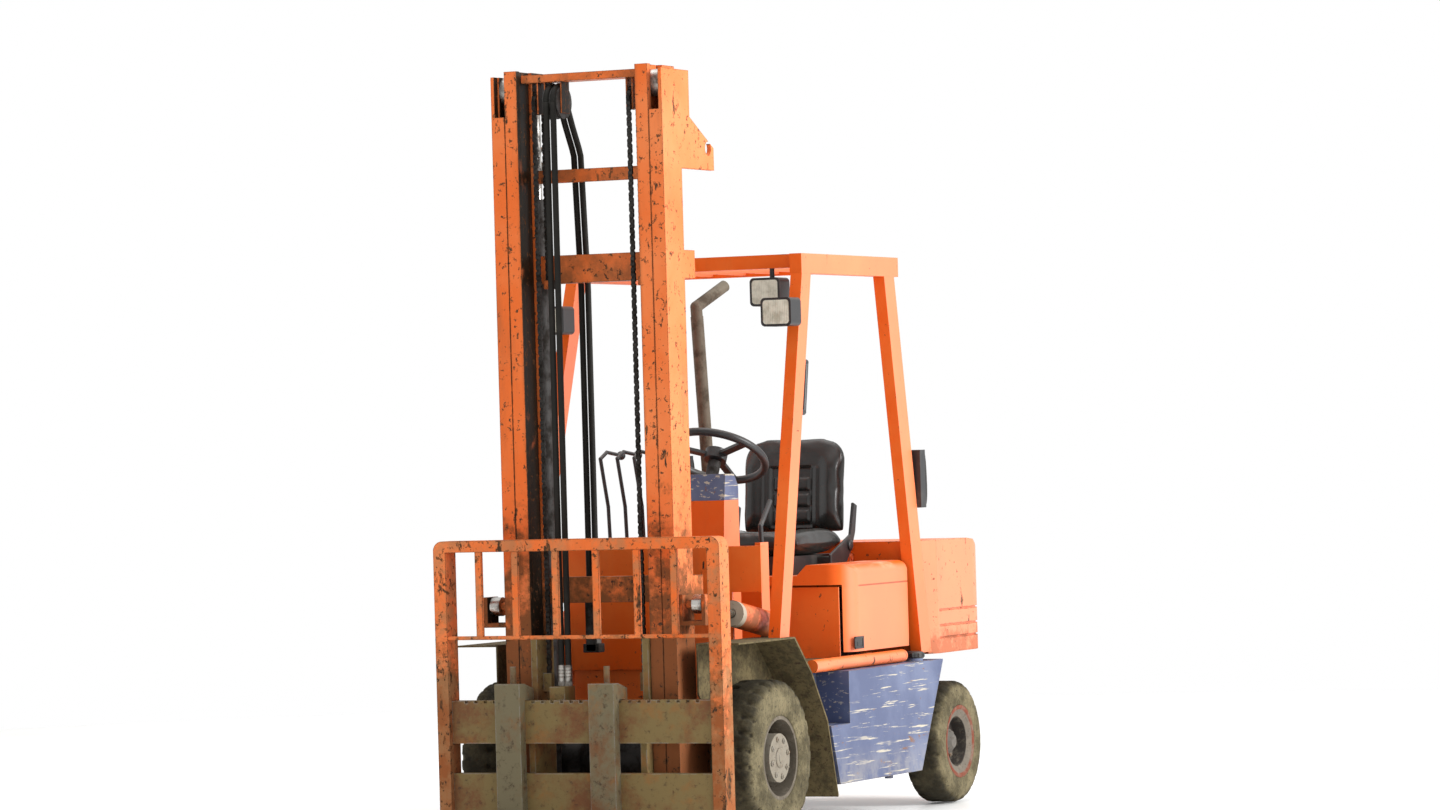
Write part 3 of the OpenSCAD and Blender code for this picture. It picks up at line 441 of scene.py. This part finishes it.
LOOKS = {
    "orange_paint": paint_body, "cast_paint": paint_tail, "blue_paint": paint_blue, "dirty_paint": mud_fender,
    "rusty_steel": carriage_steel, "dark_steel": dark_steel, "bright_steel": bright_steel, "engine": engine_grey,
    "tyre": hose_rubber, "vinyl": vinyl, "black_plastic": black_plastic, "lens": lens, "hose": hose_rubber,
    "exhaust": exhaust_steel,
}
SPECIAL = {
    "outer_mast": paint_mast, "inner_mast": paint_mast, "load_backrest": paint_rusted, "forks": fork_steel,
    "frame": paint_frame, "tilt_rod_left": rod_chrome, "tilt_rod_right": rod_chrome, "lift_rods": rod_chrome,
    "control_levers": black_plastic, "hood_shell": paint_hood, "lift_chains": chain_steel,
    "tilt_barrel_left": paint_tilt, "tilt_barrel_right": paint_tilt,
}
FRONT_RIM = [(0.090, (0.215, 0.190, 0.150)), (0.132, (0.030, 0.025, 0.020)), (0.150, (0.105, 0.088, 0.066))]
REAR_RIM = [
    (0.050, (0.115, 0.105, 0.092)), (0.096, (0.035, 0.030, 0.026)), (0.122, (0.130, 0.112, 0.090)),
    (0.139, (0.165, 0.042, 0.022)),
]


def dress(obj, material):
    obj.data.materials.clear()
    obj.data.materials.append(material)


slot_of = {part["node"]: part["material_slot"] for part in frame["record"]["subparts"]}
for name, obj in nodes.items():
    low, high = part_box(name)
    if "_rim_" in name:
        dress(obj, rim_paint("paint_" + name, (low + high) / 2, FRONT_RIM if "front" in name else REAR_RIM))
    else:
        dress(obj, SPECIAL.get(name) or LOOKS[slot_of[name]])


# Pieces built in mesh code
def piece(name, verts, faces, material, slot, body=None, smooth=True):
    mesh = bpy.data.meshes.new(name)
    mesh.from_pydata(verts, [], faces)
    mesh.polygons.foreach_set("use_smooth", [smooth] * len(mesh.polygons))
    mesh.validate()
    obj = bpy.data.objects.new(name, mesh)
    bpy.context.scene.collection.objects.link(obj)
    dress(obj, material)
    if body:
        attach(obj, body)
    return obj


def smoothstep(value, low, high):
    t = min(max((value - low) / (high - low), 0.0), 1.0)
    return t * t * (3 - 2 * t)


def rounded_line(points, passes):
    """Corner-cut copy of a polyline; its ends stay."""
    for _ in range(passes):
        cut = [points[0]]
        for a, b in zip(points, points[1:]):
            cut += [a.lerp(b, 0.25), a.lerp(b, 0.75)]
        points = cut + [points[-1]]
    return points


def even_line(points, step):
    """Points along a polyline, about one step apart."""
    spans = [(b - a).length for a, b in zip(points, points[1:])]
    count = max(2, round(sum(spans) / step))
    line, at, passed = [], 0, 0.0
    for i in range(count + 1):
        want = sum(spans) * i / count
        while at < len(spans) - 1 and passed + spans[at] < want:
            passed += spans[at]
            at += 1
        line.append(points[at].lerp(points[at + 1], (want - passed) / spans[at]))
    return line


def tube(points, radius, sides=14):
    """Closed tube whose rings lie square to a line in one upright plane along Y."""
    verts, faces = [], []
    level = Vector((1, 0, 0))
    for i, point in enumerate(points):
        ahead = points[min(i + 1, len(points) - 1)] - points[max(i - 1, 0)]
        other = ahead.normalized().cross(level)
        for k in range(sides):
            turn = 2 * math.pi * k / sides
            verts.append(point + radius * (level * math.cos(turn) + other * math.sin(turn)))
    for i in range(len(points) - 1):
        for k in range(sides):
            a, b = i * sides + k, i * sides + (k + 1) % sides
            faces.append((a, b, b + sides, a + sides))
    faces.append(tuple(reversed(range(sides))))
    faces.append(tuple(range(len(verts) - sides, len(verts))))
    return verts, faces


def lathe(rings, sides, foot, axis):
    """Closed turned part: rings of (height, radius) along an axis from its foot."""
    level = axis.orthogonal().normalized()
    other = axis.cross(level)
    verts, faces = [], []
    for height, radius in rings:
        for k in range(sides):
            turn = 2 * math.pi * k / sides
            spoke = level * math.cos(turn) + other * math.sin(turn)
            verts.append(foot + axis * height + spoke * radius)
    for i in range(len(rings) - 1):
        for k in range(sides):
            a, b = i * sides + k, i * sides + (k + 1) % sides
            faces.append((a, b, b + sides, a + sides))
    faces += [tuple(reversed(range(sides))), tuple(range(len(verts) - sides, len(verts)))]
    return verts, faces


def add(parts, part):
    """Joins a (verts, faces) part to the lists in parts."""
    first = len(parts[0])
    parts[0].extend(part[0])
    parts[1].extend(tuple(first + i for i in face) for face in part[1])


# Tyres: worn casings with ragged shoulder blocks
FRONT_WALL = [
    (0.150, 0.079), (0.168, 0.083), (0.200, 0.085), (0.235, 0.083), (0.262, 0.078), (0.273, 0.069), (0.280, 0.055),
]
REAR_WALL = [
    (0.139, 0.073), (0.154, 0.076), (0.170, 0.078), (0.195, 0.076), (0.215, 0.070), (0.226, 0.061), (0.234, 0.048),
]


def tyre(node, wall, lugs, depth, body):
    low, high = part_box(node)
    mid = (low + high) / 2
    radius = (high.z - low.z) / 2
    outline = [Vector((-half, 0, out)) for out, half in wall]
    outline += [Vector((half, 0, out)) for out, half in reversed(wall)]
    outline = even_line(rounded_line(outline, 2), 0.0065)
    bore = [outline[-1].lerp(outline[0], i / 8) for i in range(1, 8)]
    ring = outline + bore
    turns = 264
    verts, faces = [], []
    for i in range(turns):
        turn = 2 * math.pi * i / turns
        for point in ring:
            out, across = point.z, point.x
            side = 1 if across > 0 else -1
            shoulder = smoothstep(out, 0.87 * radius, 0.93 * radius) * smoothstep(abs(across), 0.022, 0.045)
            block = smoothstep(math.cos(lugs * turn + side * 0.9 + across * 14), 0.30, 0.72)
            rag = lattice.noise((out * 40 * math.cos(turn), out * 40 * math.sin(turn), across * 40 + 7 * mid.x))
            wear = lattice.noise((3 * math.cos(turn), 3 * math.sin(turn), 2 * mid.y + side))
            dent = shoulder * (block * depth * (0.75 + 0.5 * wear) + 0.0022 * abs(rag))
            rings = sum(math.exp(-(((out - share * radius) / 0.0022) ** 2)) for share in (0.665, 0.70, 0.775))
            inward = 0.0011 * rings * (1 - shoulder)
            crown = (1 - shoulder) * smoothstep(out, 0.9 * radius, radius) * 0.0016 * (1 + rag)
            out -= dent + crown
            across -= side * (inward + 0.6 * dent)
            verts.append((mid.x + across, mid.y + out * math.sin(turn), mid.z + out * math.cos(turn)))
    count = len(ring)
    for i in range(turns):
        for k in range(count):
            a, b = i * count + k, i * count + (k + 1) % count
            c, d = (i + 1) % turns * count + k, (i + 1) % turns * count + (k + 1) % count
            faces.append((a, b, d, c))
    made = piece(node + "_casing", verts, faces, tyre_rubber("rubber_" + node, mid, radius), "tyre", body)
    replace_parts(made, node)


# Lift chains: laced plates on pins, run from the carriage over the sheaves to the outer mast
CHAIN_PITCH, CHAIN_HALF = 0.0190, 0.0080
CHAIN_COLUMNS = [-0.0065, -0.0039, -0.0013, 0.0013, 0.0039, 0.0065]


def plate(a, b, x):
    """One chain plate: two rounded ends and a waist, between pin centres a and b."""
    ahead = (b - a).normalized()
    out = ahead.cross(Vector((1, 0, 0)))
    line = []
    for centre_point, first in ((a, 90), (b, -90)):
        for k in range(5):
            turn = math.radians(first + 45 * k)
            line.append(centre_point + 0.0070 * (ahead * math.cos(turn) + out * math.sin(turn)))
        line.append(a.lerp(b, 0.5) + out * (-0.0052 if first == 90 else 0.0052))
    verts = [point + Vector((x + side * 0.0011, 0, 0)) for side in (-1, 1) for point in line]
    n = len(line)
    faces = [tuple(range(n)), tuple(reversed(range(n, 2 * n)))]
    faces += [(k, n + k, n + (k + 1) % n, (k + 1) % n) for k in range(n)]
    return verts, faces


def chain(name, line):
    parts = ([], [])
    for i, (a, b) in enumerate(zip(line, line[1:])):
        for column in CHAIN_COLUMNS[i % 2 :: 2]:
            add(parts, plate(a, b, column))
    for point in line:
        pin = point + Vector((-CHAIN_HALF, 0, 0))
        add(parts, lathe([(0.0, 0.0032), (2 * CHAIN_HALF, 0.0032)], 6, pin, Vector((1, 0, 0))))
    return piece(name, *parts, chain_steel, "dark_steel", smooth=False)


def lift_chain(side, x):
    sheave = Vector((x, SHEAVE_Y, SHEAVE_Z))
    front = sheave + Vector((0, -CHAIN_REACH, 0))
    rear = sheave + Vector((0, CHAIN_REACH, 0))
    front_foot = Vector((x, front.y, CHAIN_FRONT_FOOT))
    rear_foot = Vector((x, rear.y, CHAIN_REAR_FOOT))
    run = chain(f"chain_front_{side}", even_line([front_foot, front], CHAIN_PITCH))
    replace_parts(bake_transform(run), "lift_chains")
    run = chain(f"chain_rear_{side}", even_line([rear_foot, rear], CHAIN_PITCH))
    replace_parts(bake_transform(run), "lift_chains")
    turns = [math.pi * k / 6 for k in range(7)]
    arc = [sheave + CHAIN_REACH * Vector((0, -math.cos(turn), math.sin(turn))) for turn in turns]
    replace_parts(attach(chain(f"chain_wrap_{side}", arc), "mast_inner"), "lift_chains")


# Mast hoses: from the carriage over the pulley and down behind the mast
def mast_hose(side, x):
    hub = Vector((x, SHEAVE_Y, SHEAVE_Z))
    front = hub + Vector((0, -PULLEY_R, 0))
    back = hub + Vector((0, PULLEY_R, 0))
    front_foot = Vector((x, front.y, HOSE_FRONT_FOOT))
    back_foot = Vector((x, HOSE_BACK_Y, HOSE_REAR_FOOT))
    run = piece(f"hose_front_{side}", *tube(even_line([front_foot, front], 0.04), HOSE_R), hose_rubber, "hose")
    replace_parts(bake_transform(run), "mast_hoses")
    turns = [math.pi * k / 20 for k in range(21)]
    arc = [hub + PULLEY_R * Vector((0, -math.cos(turn), math.sin(turn))) for turn in turns]
    run = piece(f"hose_wrap_{side}", *tube(arc, HOSE_R), hose_rubber, "hose", "mast_inner")
    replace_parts(run, "mast_hoses")
    bend = [back, back + Vector((0, 0, -0.030)), Vector((x, HOSE_BACK_Y, SHEAVE_Z - 0.230)), back_foot]
    line = even_line(rounded_line(bend, 1), 0.03)
    run = piece(f"hose_rear_{side}", *tube(line, HOSE_R), hose_rubber, "hose")
    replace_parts(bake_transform(run), "mast_hoses")
    for end, foot, body in (("front", front_foot, "carriage"), ("rear", back_foot, "mast_outer")):
        ferrule(f"hose_end_{end}_{side}", foot, body)


def ferrule(name, foot, body):
    """Crimped sleeve over a hexagon nut at a hose's lower end."""
    rings = [(0.016, 0.0130), (0.022, 0.0130)]
    for k in range(4):
        z = 0.022 + 0.012 * k
        rings += [(z, 0.0138), (z + 0.007, 0.0138), (z + 0.009, 0.0128)]
    rings += [(0.072, 0.0128), (0.074, 0.0114)]
    parts = ([], [])
    add(parts, lathe([(0.0, 0.0145), (0.0155, 0.0145)], 6, foot, UP))
    add(parts, lathe(rings, 24, foot, UP))
    piece(name, *parts, bright_steel, "bright_steel", body, smooth=False)


# Small hardware that the solids leave out
def nut(foot, axis, size, height):
    """Chamfered hexagon nut with the end of its stud."""
    parts = ([], [])
    add(parts, lathe([(0.0, size), (0.72 * height, size), (height, 0.78 * size)], 6, foot, axis))
    stud = [(height, 0.50 * size), (1.35 * height, 0.50 * size), (1.5 * height, 0.38 * size)]
    add(parts, lathe(stud, 10, foot, axis))
    return parts


def wheel_nuts(wheel, count, circle, face, cap):
    """Ring of nuts on a wheel's hub face, with a stepped cap in the middle where cap is its radius."""
    low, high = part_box(wheel.replace("_wheel_", "_rim_"))
    mid = (low + high) / 2
    out = Vector((1 if mid.x > 0 else -1, 0, 0))
    parts = ([], [])
    for k in range(count):
        turn = 2 * math.pi * (k + 0.3) / count
        spoke = Vector((0, circle * math.cos(turn), circle * math.sin(turn)))
        add(parts, nut(mid + out * face + spoke, out, 0.0105, 0.0065))
    if cap:
        rings = [(-0.002, cap), (0.005, cap), (0.0075, 0.86 * cap), (0.0075, 0.55 * cap), (0.010, 0.50 * cap)]
        add(parts, lathe(rings, 28, mid + out * face, out))
    piece(wheel + "_nuts", *parts, nut_steel, "rim_grey", wheel, smooth=False)


def read_off(shape):
    """The (verts, faces) lists of a bmesh, which is freed."""
    shape.verts.index_update()
    verts = [v.co.copy() for v in shape.verts]
    faces = [tuple(v.index for v in face.verts) for face in shape.faces]
    shape.free()
    return verts, faces


def rounded_box(low, high, radius):
    """Box with its twelve edges cut to a radius."""
    shape = bmesh.new()
    bmesh.ops.create_cube(shape, size=1.0)
    for v in shape.verts:
        v.co = Vector(a + (b - a) * (c + 0.5) for a, b, c in zip(low, high, v.co))
    bmesh.ops.bevel(shape, geom=shape.edges[:], offset=radius, segments=3, affect="EDGES", profile=0.5)
    return read_off(shape)


def slab(outline, x0, x1, radius):
    """Plate with a side outline of (y, z) points from x0 to x1, its edges cut to a radius."""
    shape = bmesh.new()
    face = shape.faces.new([shape.verts.new((x0, y, z)) for y, z in outline])
    grown = bmesh.ops.extrude_face_region(shape, geom=[face])["geom"]
    for v in grown:
        if isinstance(v, bmesh.types.BMVert):
            v.co.x = x1
    bmesh.ops.recalc_face_normals(shape, faces=shape.faces[:])
    bmesh.ops.bevel(shape, geom=shape.edges[:], offset=radius, segments=2, affect="EDGES", profile=0.5)
    return read_off(shape)


# Side outline of a seat hinge arm, (y, z)
SEAT_ARM = [
    (0.863, 0.925), (0.993, 0.925), (1.060, 0.985), (1.100, 1.055),
    (1.123, 1.155), (1.089, 1.167), (1.053, 1.045), (0.863, 0.975),
]


def seat_arms():
    parts = ([], [])
    for side in (-1, 1):
        x0, x1 = sorted((SEAT_X + side * 0.238, SEAT_X + side * 0.250))
        add(parts, slab(SEAT_ARM, x0, x1, 0.004))
        hub = Vector((SEAT_X + side * 0.250, 1.040, 1.005))
        add(parts, lathe([(-0.001, 0.020), (0.006, 0.020), (0.009, 0.014)], 24, hub, Vector((side, 0, 0))))
    add(parts, rounded_box((SEAT_X - 0.240, 0.870, 0.930), (SEAT_X + 0.240, 0.970, 0.968), 0.006))
    piece("seat_hinge_arms", *parts, black_plastic, "black_plastic", "hood", smooth=False)


# Bars of a hood latch: first and last y, first and last z, height over the panel, edge radius
LATCH_BARS = [
    (0.558, 0.642, 0.668, 0.676, 0.0040, 0.0018),
    (0.558, 0.642, 0.630, 0.638, 0.0040, 0.0018),
    (0.558, 0.567, 0.630, 0.676, 0.0040, 0.0018),
    (0.633, 0.642, 0.630, 0.676, 0.0040, 0.0018),
    (0.566, 0.634, 0.637, 0.669, 0.0015, 0.0006),
    (0.585, 0.626, 0.641, 0.656, 0.0030, 0.0013),
]


def hood_latch(side, name):
    """Black paddle latch in a raised frame on the hood's side."""
    parts = ([], [])
    for y0, y1, z0, z1, height, radius in LATCH_BARS:
        x0, x1 = sorted((side * HOOD_X, side * (HOOD_X + height)))
        add(parts, rounded_box((x0, y0, z0), (x1, y1, z1), radius))
    piece(name, *parts, black_plastic, "black_plastic", "hood", smooth=False)


def lamp_guard(side, name):
    """Two bent wires round a rear lamp."""
    parts = ([], [])
    for shift in (-0.025, 0.025):
        corners = ((1.207, 1.150), (1.251, 1.150), (1.243, 1.350), (1.207, 1.350))
        line = [Vector((side * REAR_LAMP_X + shift, y, z)) for y, z in corners]
        add(parts, tube(even_line(rounded_line(line, 2), 0.008), 0.004, 10))
    piece(name, *parts, dark_steel, "dark_steel", "chassis")


def tank_cap(side, name):
    """Lobed filler cap over a tank's neck."""
    parts = ([], [])
    foot = Vector((side * FILLER[0], FILLER[1], FILLER[2]))
    cover = [(0.0, 0.0345), (0.004, 0.0365), (0.018, 0.0365), (0.024, 0.033), (0.026, 0.020)]
    add(parts, lathe(cover, 36, foot, UP))
    for k in range(9):
        turn = 2 * math.pi * k / 9
        lobe = foot + Vector((0.0350 * math.cos(turn), 0.0350 * math.sin(turn), 0.004))
        add(parts, lathe([(0.0, 0.0050), (0.013, 0.0050), (0.016, 0.0035)], 10, lobe, UP))
    piece(name, *parts, black_plastic, "black_plastic", "chassis", smooth=False)


def hose_manifold():
    """Bracket on the middle tie with the block that the rear hoses come up from."""
    middle = sum(HOSE_X) / 2
    parts = ([], [])
    add(parts, rounded_box((middle - 0.020, TIE_BACK_Y, 0.672), (middle + 0.020, TIE_BACK_Y + 0.008, 0.930), 0.002))
    add(parts, rounded_box((middle - 0.032, TIE_BACK_Y, 0.668), (middle + 0.032, HOSE_BACK_Y + 0.018, 0.6995), 0.003))
    for z in (0.872, 0.910):
        add(parts, nut(Vector((middle, TIE_BACK_Y + 0.008, z)), Vector((0, 1, 0)), 0.0085, 0.006))
    piece("hose_manifold", *parts, dark_steel, "dark_steel", "mast_outer", smooth=False)


# Seat pads: swollen by cloth under pressure, then the moulded panels are pressed in
def swell(obj, pressure, cap):
    """Voxel remesh, a short cloth simulation with inner pressure, moves held to cap, and one subdivision."""
    scene = bpy.context.scene
    remesh = obj.modifiers.new("remesh", "REMESH")
    remesh.mode = "VOXEL"
    remesh.voxel_size = 0.006
    settle(obj)
    rest = [v.co.copy() for v in obj.data.vertices]
    cloth = obj.modifiers.new("cloth", "CLOTH")
    cloth.settings.use_pressure = True
    cloth.settings.uniform_pressure_force = pressure
    cloth.settings.quality = 5
    cloth.settings.tension_stiffness = 40
    cloth.settings.compression_stiffness = 40
    cloth.settings.effector_weights.gravity = 0
    for step in range(1, 21):
        scene.frame_set(step)
    settle(obj)
    scene.frame_set(1)
    for v, start in zip(obj.data.vertices, rest):
        move = v.co - start
        if move.length > cap:
            v.co = start + move.normalized() * cap
    # Stretched vinyl: the finest creases are drawn out
    relax = obj.modifiers.new("relax", "SMOOTH")
    relax.factor = 0.5
    relax.iterations = 30
    settle(obj)
    fine = obj.modifiers.new("fine", "SUBSURF")
    fine.levels = fine.render_levels = 1
    settle(obj)
    obj.data.polygons.foreach_set("use_smooth", [True] * len(obj.data.polygons))


def settle(obj):
    """Turns the piece's modifiers into its mesh."""
    graph = bpy.context.evaluated_depsgraph_get()
    made = bpy.data.meshes.new_from_object(obj.evaluated_get(graph))
    obj.modifiers.clear()
    old = obj.data
    obj.data = made
    bpy.data.meshes.remove(old)


def pad(name, half_width, length, thick, place):
    """Closed pad with full rounded edges; place turns across, along and through into a point."""
    rows, columns = 48, 60
    verts, faces = [], []
    for face in (1, -1):
        for j in range(rows + 1):
            for i in range(columns + 1):
                u, v = 2 * i / columns - 1, 2 * j / rows - 1
                crown = max(0.0, (1 - abs(u) ** 5) * (1 - abs(v) ** 5)) ** 0.5
                verts.append(place(u * half_width(v), v * length / 2, face * crown * thick / 2))
    n = (rows + 1) * (columns + 1)
    for j in range(rows):
        for i in range(columns):
            a = j * (columns + 1) + i
            quad = (a, a + 1, a + columns + 2, a + columns + 1)
            faces += [quad, tuple(n + k for k in reversed(quad))]
    made = piece(name, verts, faces, vinyl, "vinyl")
    shape = bmesh.new()
    shape.from_mesh(made.data)
    bmesh.ops.remove_doubles(shape, verts=shape.verts, dist=1e-5)
    bmesh.ops.recalc_face_normals(shape, faces=shape.faces)
    shape.to_mesh(made.data)
    shape.free()
    return made


def back_pad(across, up, through):
    """Point of the seat's back: across it, up from its middle and forward from its middle."""
    share = up / BACK_HEIGHT + 0.5
    return Vector((SEAT_X + across, 1.083 + 0.037 * share - through, BACK_Z + up))


def back_half_width(v):
    """Half width at v, from -1 at the foot to 1 at the rounded top."""
    over = max(0.0, v * BACK_HEIGHT / 2 - 0.0945)
    return 0.131 + math.sqrt(max(0.0, 0.083**2 - over**2))


def back_relief(across, up):
    """Side bolsters, a sunk middle panel with a raised rim, and three ribs."""
    bolster = smoothstep(across, 0.105, 0.165) * (1 - smoothstep(across, 0.185, 0.215)) * 0.020
    bolster *= smoothstep(up, -0.19, -0.10) * (1 - smoothstep(up, 0.06, 0.15))
    tall = smoothstep(up, -0.165, -0.150) * (1 - smoothstep(up, 0.062, 0.080))
    panel = -0.011 * tall * (1 - smoothstep(across, 0.078, 0.094))
    rim = 0.006 * math.exp(-(((across - 0.108) / 0.010) ** 2)) * tall
    ribs = sum(max(0.0, 1 - ((up - middle) / 0.026) ** 4) for middle in (-0.118, -0.056, 0.006))
    return bolster + panel + rim + 0.009 * ribs * (1 - smoothstep(across, 0.066, 0.080))


def cushion_pad(across, along, through):
    return Vector((SEAT_X + across, CUSHION_Y + along, 1.020 + through))


def cushion_relief(across, along):
    """Side bolsters, a front roll and a sunk, ribbed middle."""
    bolster = smoothstep(across, 0.130, 0.185) * (1 - smoothstep(across, 0.195, 0.230)) * 0.016
    roll = 0.008 * math.exp(-(((along + 0.165) / 0.030) ** 2)) * (1 - smoothstep(across, 0.14, 0.2))
    deep = smoothstep(along, -0.130, -0.112) * (1 - smoothstep(along, 0.155, 0.175))
    panel = -0.008 * deep * (1 - smoothstep(across, 0.098, 0.116))
    ribs = sum(max(0.0, 1 - ((along - middle) / 0.020) ** 2) for middle in (-0.07, -0.01, 0.05, 0.11))
    return bolster + roll + panel + 0.006 * ribs * (1 - smoothstep(across, 0.075, 0.090))


def press(obj, facing, relief):
    """Moves the side of a pad that looks along facing by its relief."""
    square_on = [v.normal.dot(facing) for v in obj.data.vertices]
    for v, share in zip(obj.data.vertices, square_on):
        v.co += facing * relief(v.co) * smoothstep(share, 0.2, 0.75)


def seat_pads():
    back = pad("seat_back_pad", back_half_width, BACK_HEIGHT, 0.062, back_pad)
    swell(back, 1.5, 0.007)
    press(back, Vector((0, -1, 0)), lambda co: back_relief(abs(co.x - SEAT_X), co.z - BACK_Z))
    cushion = pad("seat_cushion_pad", lambda v: 0.222, 0.418, 0.080, cushion_pad)
    swell(cushion, 1.5, 0.007)
    press(cushion, UP, lambda co: cushion_relief(abs(co.x - SEAT_X), co.y - CUSHION_Y))
    for made, node in ((back, "seat_back"), (cushion, "seat_cushion")):
        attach(made, "hood")
        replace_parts(made, node)


for side in ("left", "right"):
    tyre(f"front_tyre_{side}", FRONT_WALL, 28, 0.0120, f"front_wheel_{side}")
    tyre(f"rear_tyre_{side}", REAR_WALL, 26, 0.0085, f"rear_wheel_{side}")
lift_chain("left", CHAIN_X)
lift_chain("right", -CHAIN_X)
for side, x in zip(("outer", "inner"), HOSE_X):
    mast_hose(side, x)
seat_pads()
seat_arms()
hose_manifold()
for side, sign in (("left", 1), ("right", -1)):
    wheel_nuts(f"front_wheel_{side}", 8, 0.068, 0.0725, 0.036)
    wheel_nuts(f"rear_wheel_{side}", 5, 0.070, 0.0080, 0.0)
    hood_latch(sign, f"hood_latch_{side}")
    lamp_guard(sign, f"rear_lamp_guard_{side}")
    tank_cap(sign, f"tank_cap_{side}")


# Stage: a pale floor, soft light and a white surround
def stage_floor():
    mesh = bpy.data.meshes.new("floor")
    shape = bmesh.new()
    bmesh.ops.create_circle(shape, cap_ends=True, segments=128, radius=9.3)
    shape.to_mesh(mesh)
    shape.free()
    floor = bpy.data.objects.new("floor", mesh)
    bpy.context.scene.collection.objects.link(floor)
    look = Look("floor_paint")
    tone = look.mix(look.fade(look.noise(0.6, 4.0), 0.4, 0.7), (0.95, 0.95, 0.935), (0.90, 0.90, 0.88))
    look.set(Base_Color=tone, Roughness=0.35)
    dress(floor, look.material)
    floor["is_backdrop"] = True


def area_light(name, place, target, size, power):
    lamp = bpy.data.lights.new(name, "AREA")
    lamp.shape = "DISK"
    lamp.size = size
    lamp.energy = power
    obj = bpy.data.objects.new(name, lamp)
    obj.location = place
    obj.rotation_euler = (Vector(target) - Vector(place)).to_track_quat("-Z", "Y").to_euler()
    bpy.context.scene.collection.objects.link(obj)


def surround():
    world = bpy.data.worlds.new("surround")
    bpy.context.scene.world = world
    world.use_nodes = True
    tree = world.node_tree
    light = tree.nodes["Background"]
    light.inputs["Color"].default_value = (1, 1, 1, 1)
    light.inputs["Strength"].default_value = 0.92
    seen = tree.nodes.new("ShaderNodeBackground")
    seen.inputs["Color"].default_value = (1, 1, 1, 1)
    seen.inputs["Strength"].default_value = 1.0
    path = tree.nodes.new("ShaderNodeLightPath")
    either = tree.nodes.new("ShaderNodeMath")
    either.operation = "MAXIMUM"
    mix = tree.nodes.new("ShaderNodeMixShader")
    tree.links.new(path.outputs["Is Camera Ray"], either.inputs[0])
    tree.links.new(path.outputs["Is Glossy Ray"], either.inputs[1])
    tree.links.new(either.outputs[0], mix.inputs[0])
    tree.links.new(light.outputs[0], mix.inputs[1])
    tree.links.new(seen.outputs[0], mix.inputs[2])
    tree.links.new(mix.outputs[0], tree.nodes["World Output"].inputs["Surface"])


# Camera: fitted to the photograph's lines, in metres and radians
CAMERA_PLACE = Vector((8.388, -17.330, 1.415))
CAMERA_AZIMUTH = math.radians(25.18)
CAMERA_PITCH = 0.0068
CAMERA_ROLL = 0.0279
CAMERA_LENS = 131.9


def camera():
    data = bpy.data.cameras.new("camera")
    data.sensor_width = 36
    data.lens = CAMERA_LENS
    data.clip_end = 200
    obj = bpy.data.objects.new("camera", data)
    bpy.context.scene.collection.objects.link(obj)
    ahead = Vector((-math.sin(CAMERA_AZIMUTH), math.cos(CAMERA_AZIMUTH), CAMERA_PITCH)).normalized()
    right = ahead.cross(UP).normalized()
    up = right.cross(ahead)
    level, upright = right, up
    right = level * math.cos(CAMERA_ROLL) - upright * math.sin(CAMERA_ROLL)
    up = upright * math.cos(CAMERA_ROLL) + level * math.sin(CAMERA_ROLL)
    turn = Matrix((right, up, -ahead)).transposed().to_4x4()
    obj.matrix_world = Matrix.Translation(CAMERA_PLACE) @ turn
    bpy.context.scene.camera = obj


stage_floor()
surround()
area_light("key", (9.0, 1.0, 4.5), (0, 0, 1.2), 5.0, 1100)
area_light("top", (0, 1.0, 8.0), (0, 0, 0), 7.0, 260)
camera()
bpy.context.scene.view_settings.view_transform = "Standard"

low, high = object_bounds()
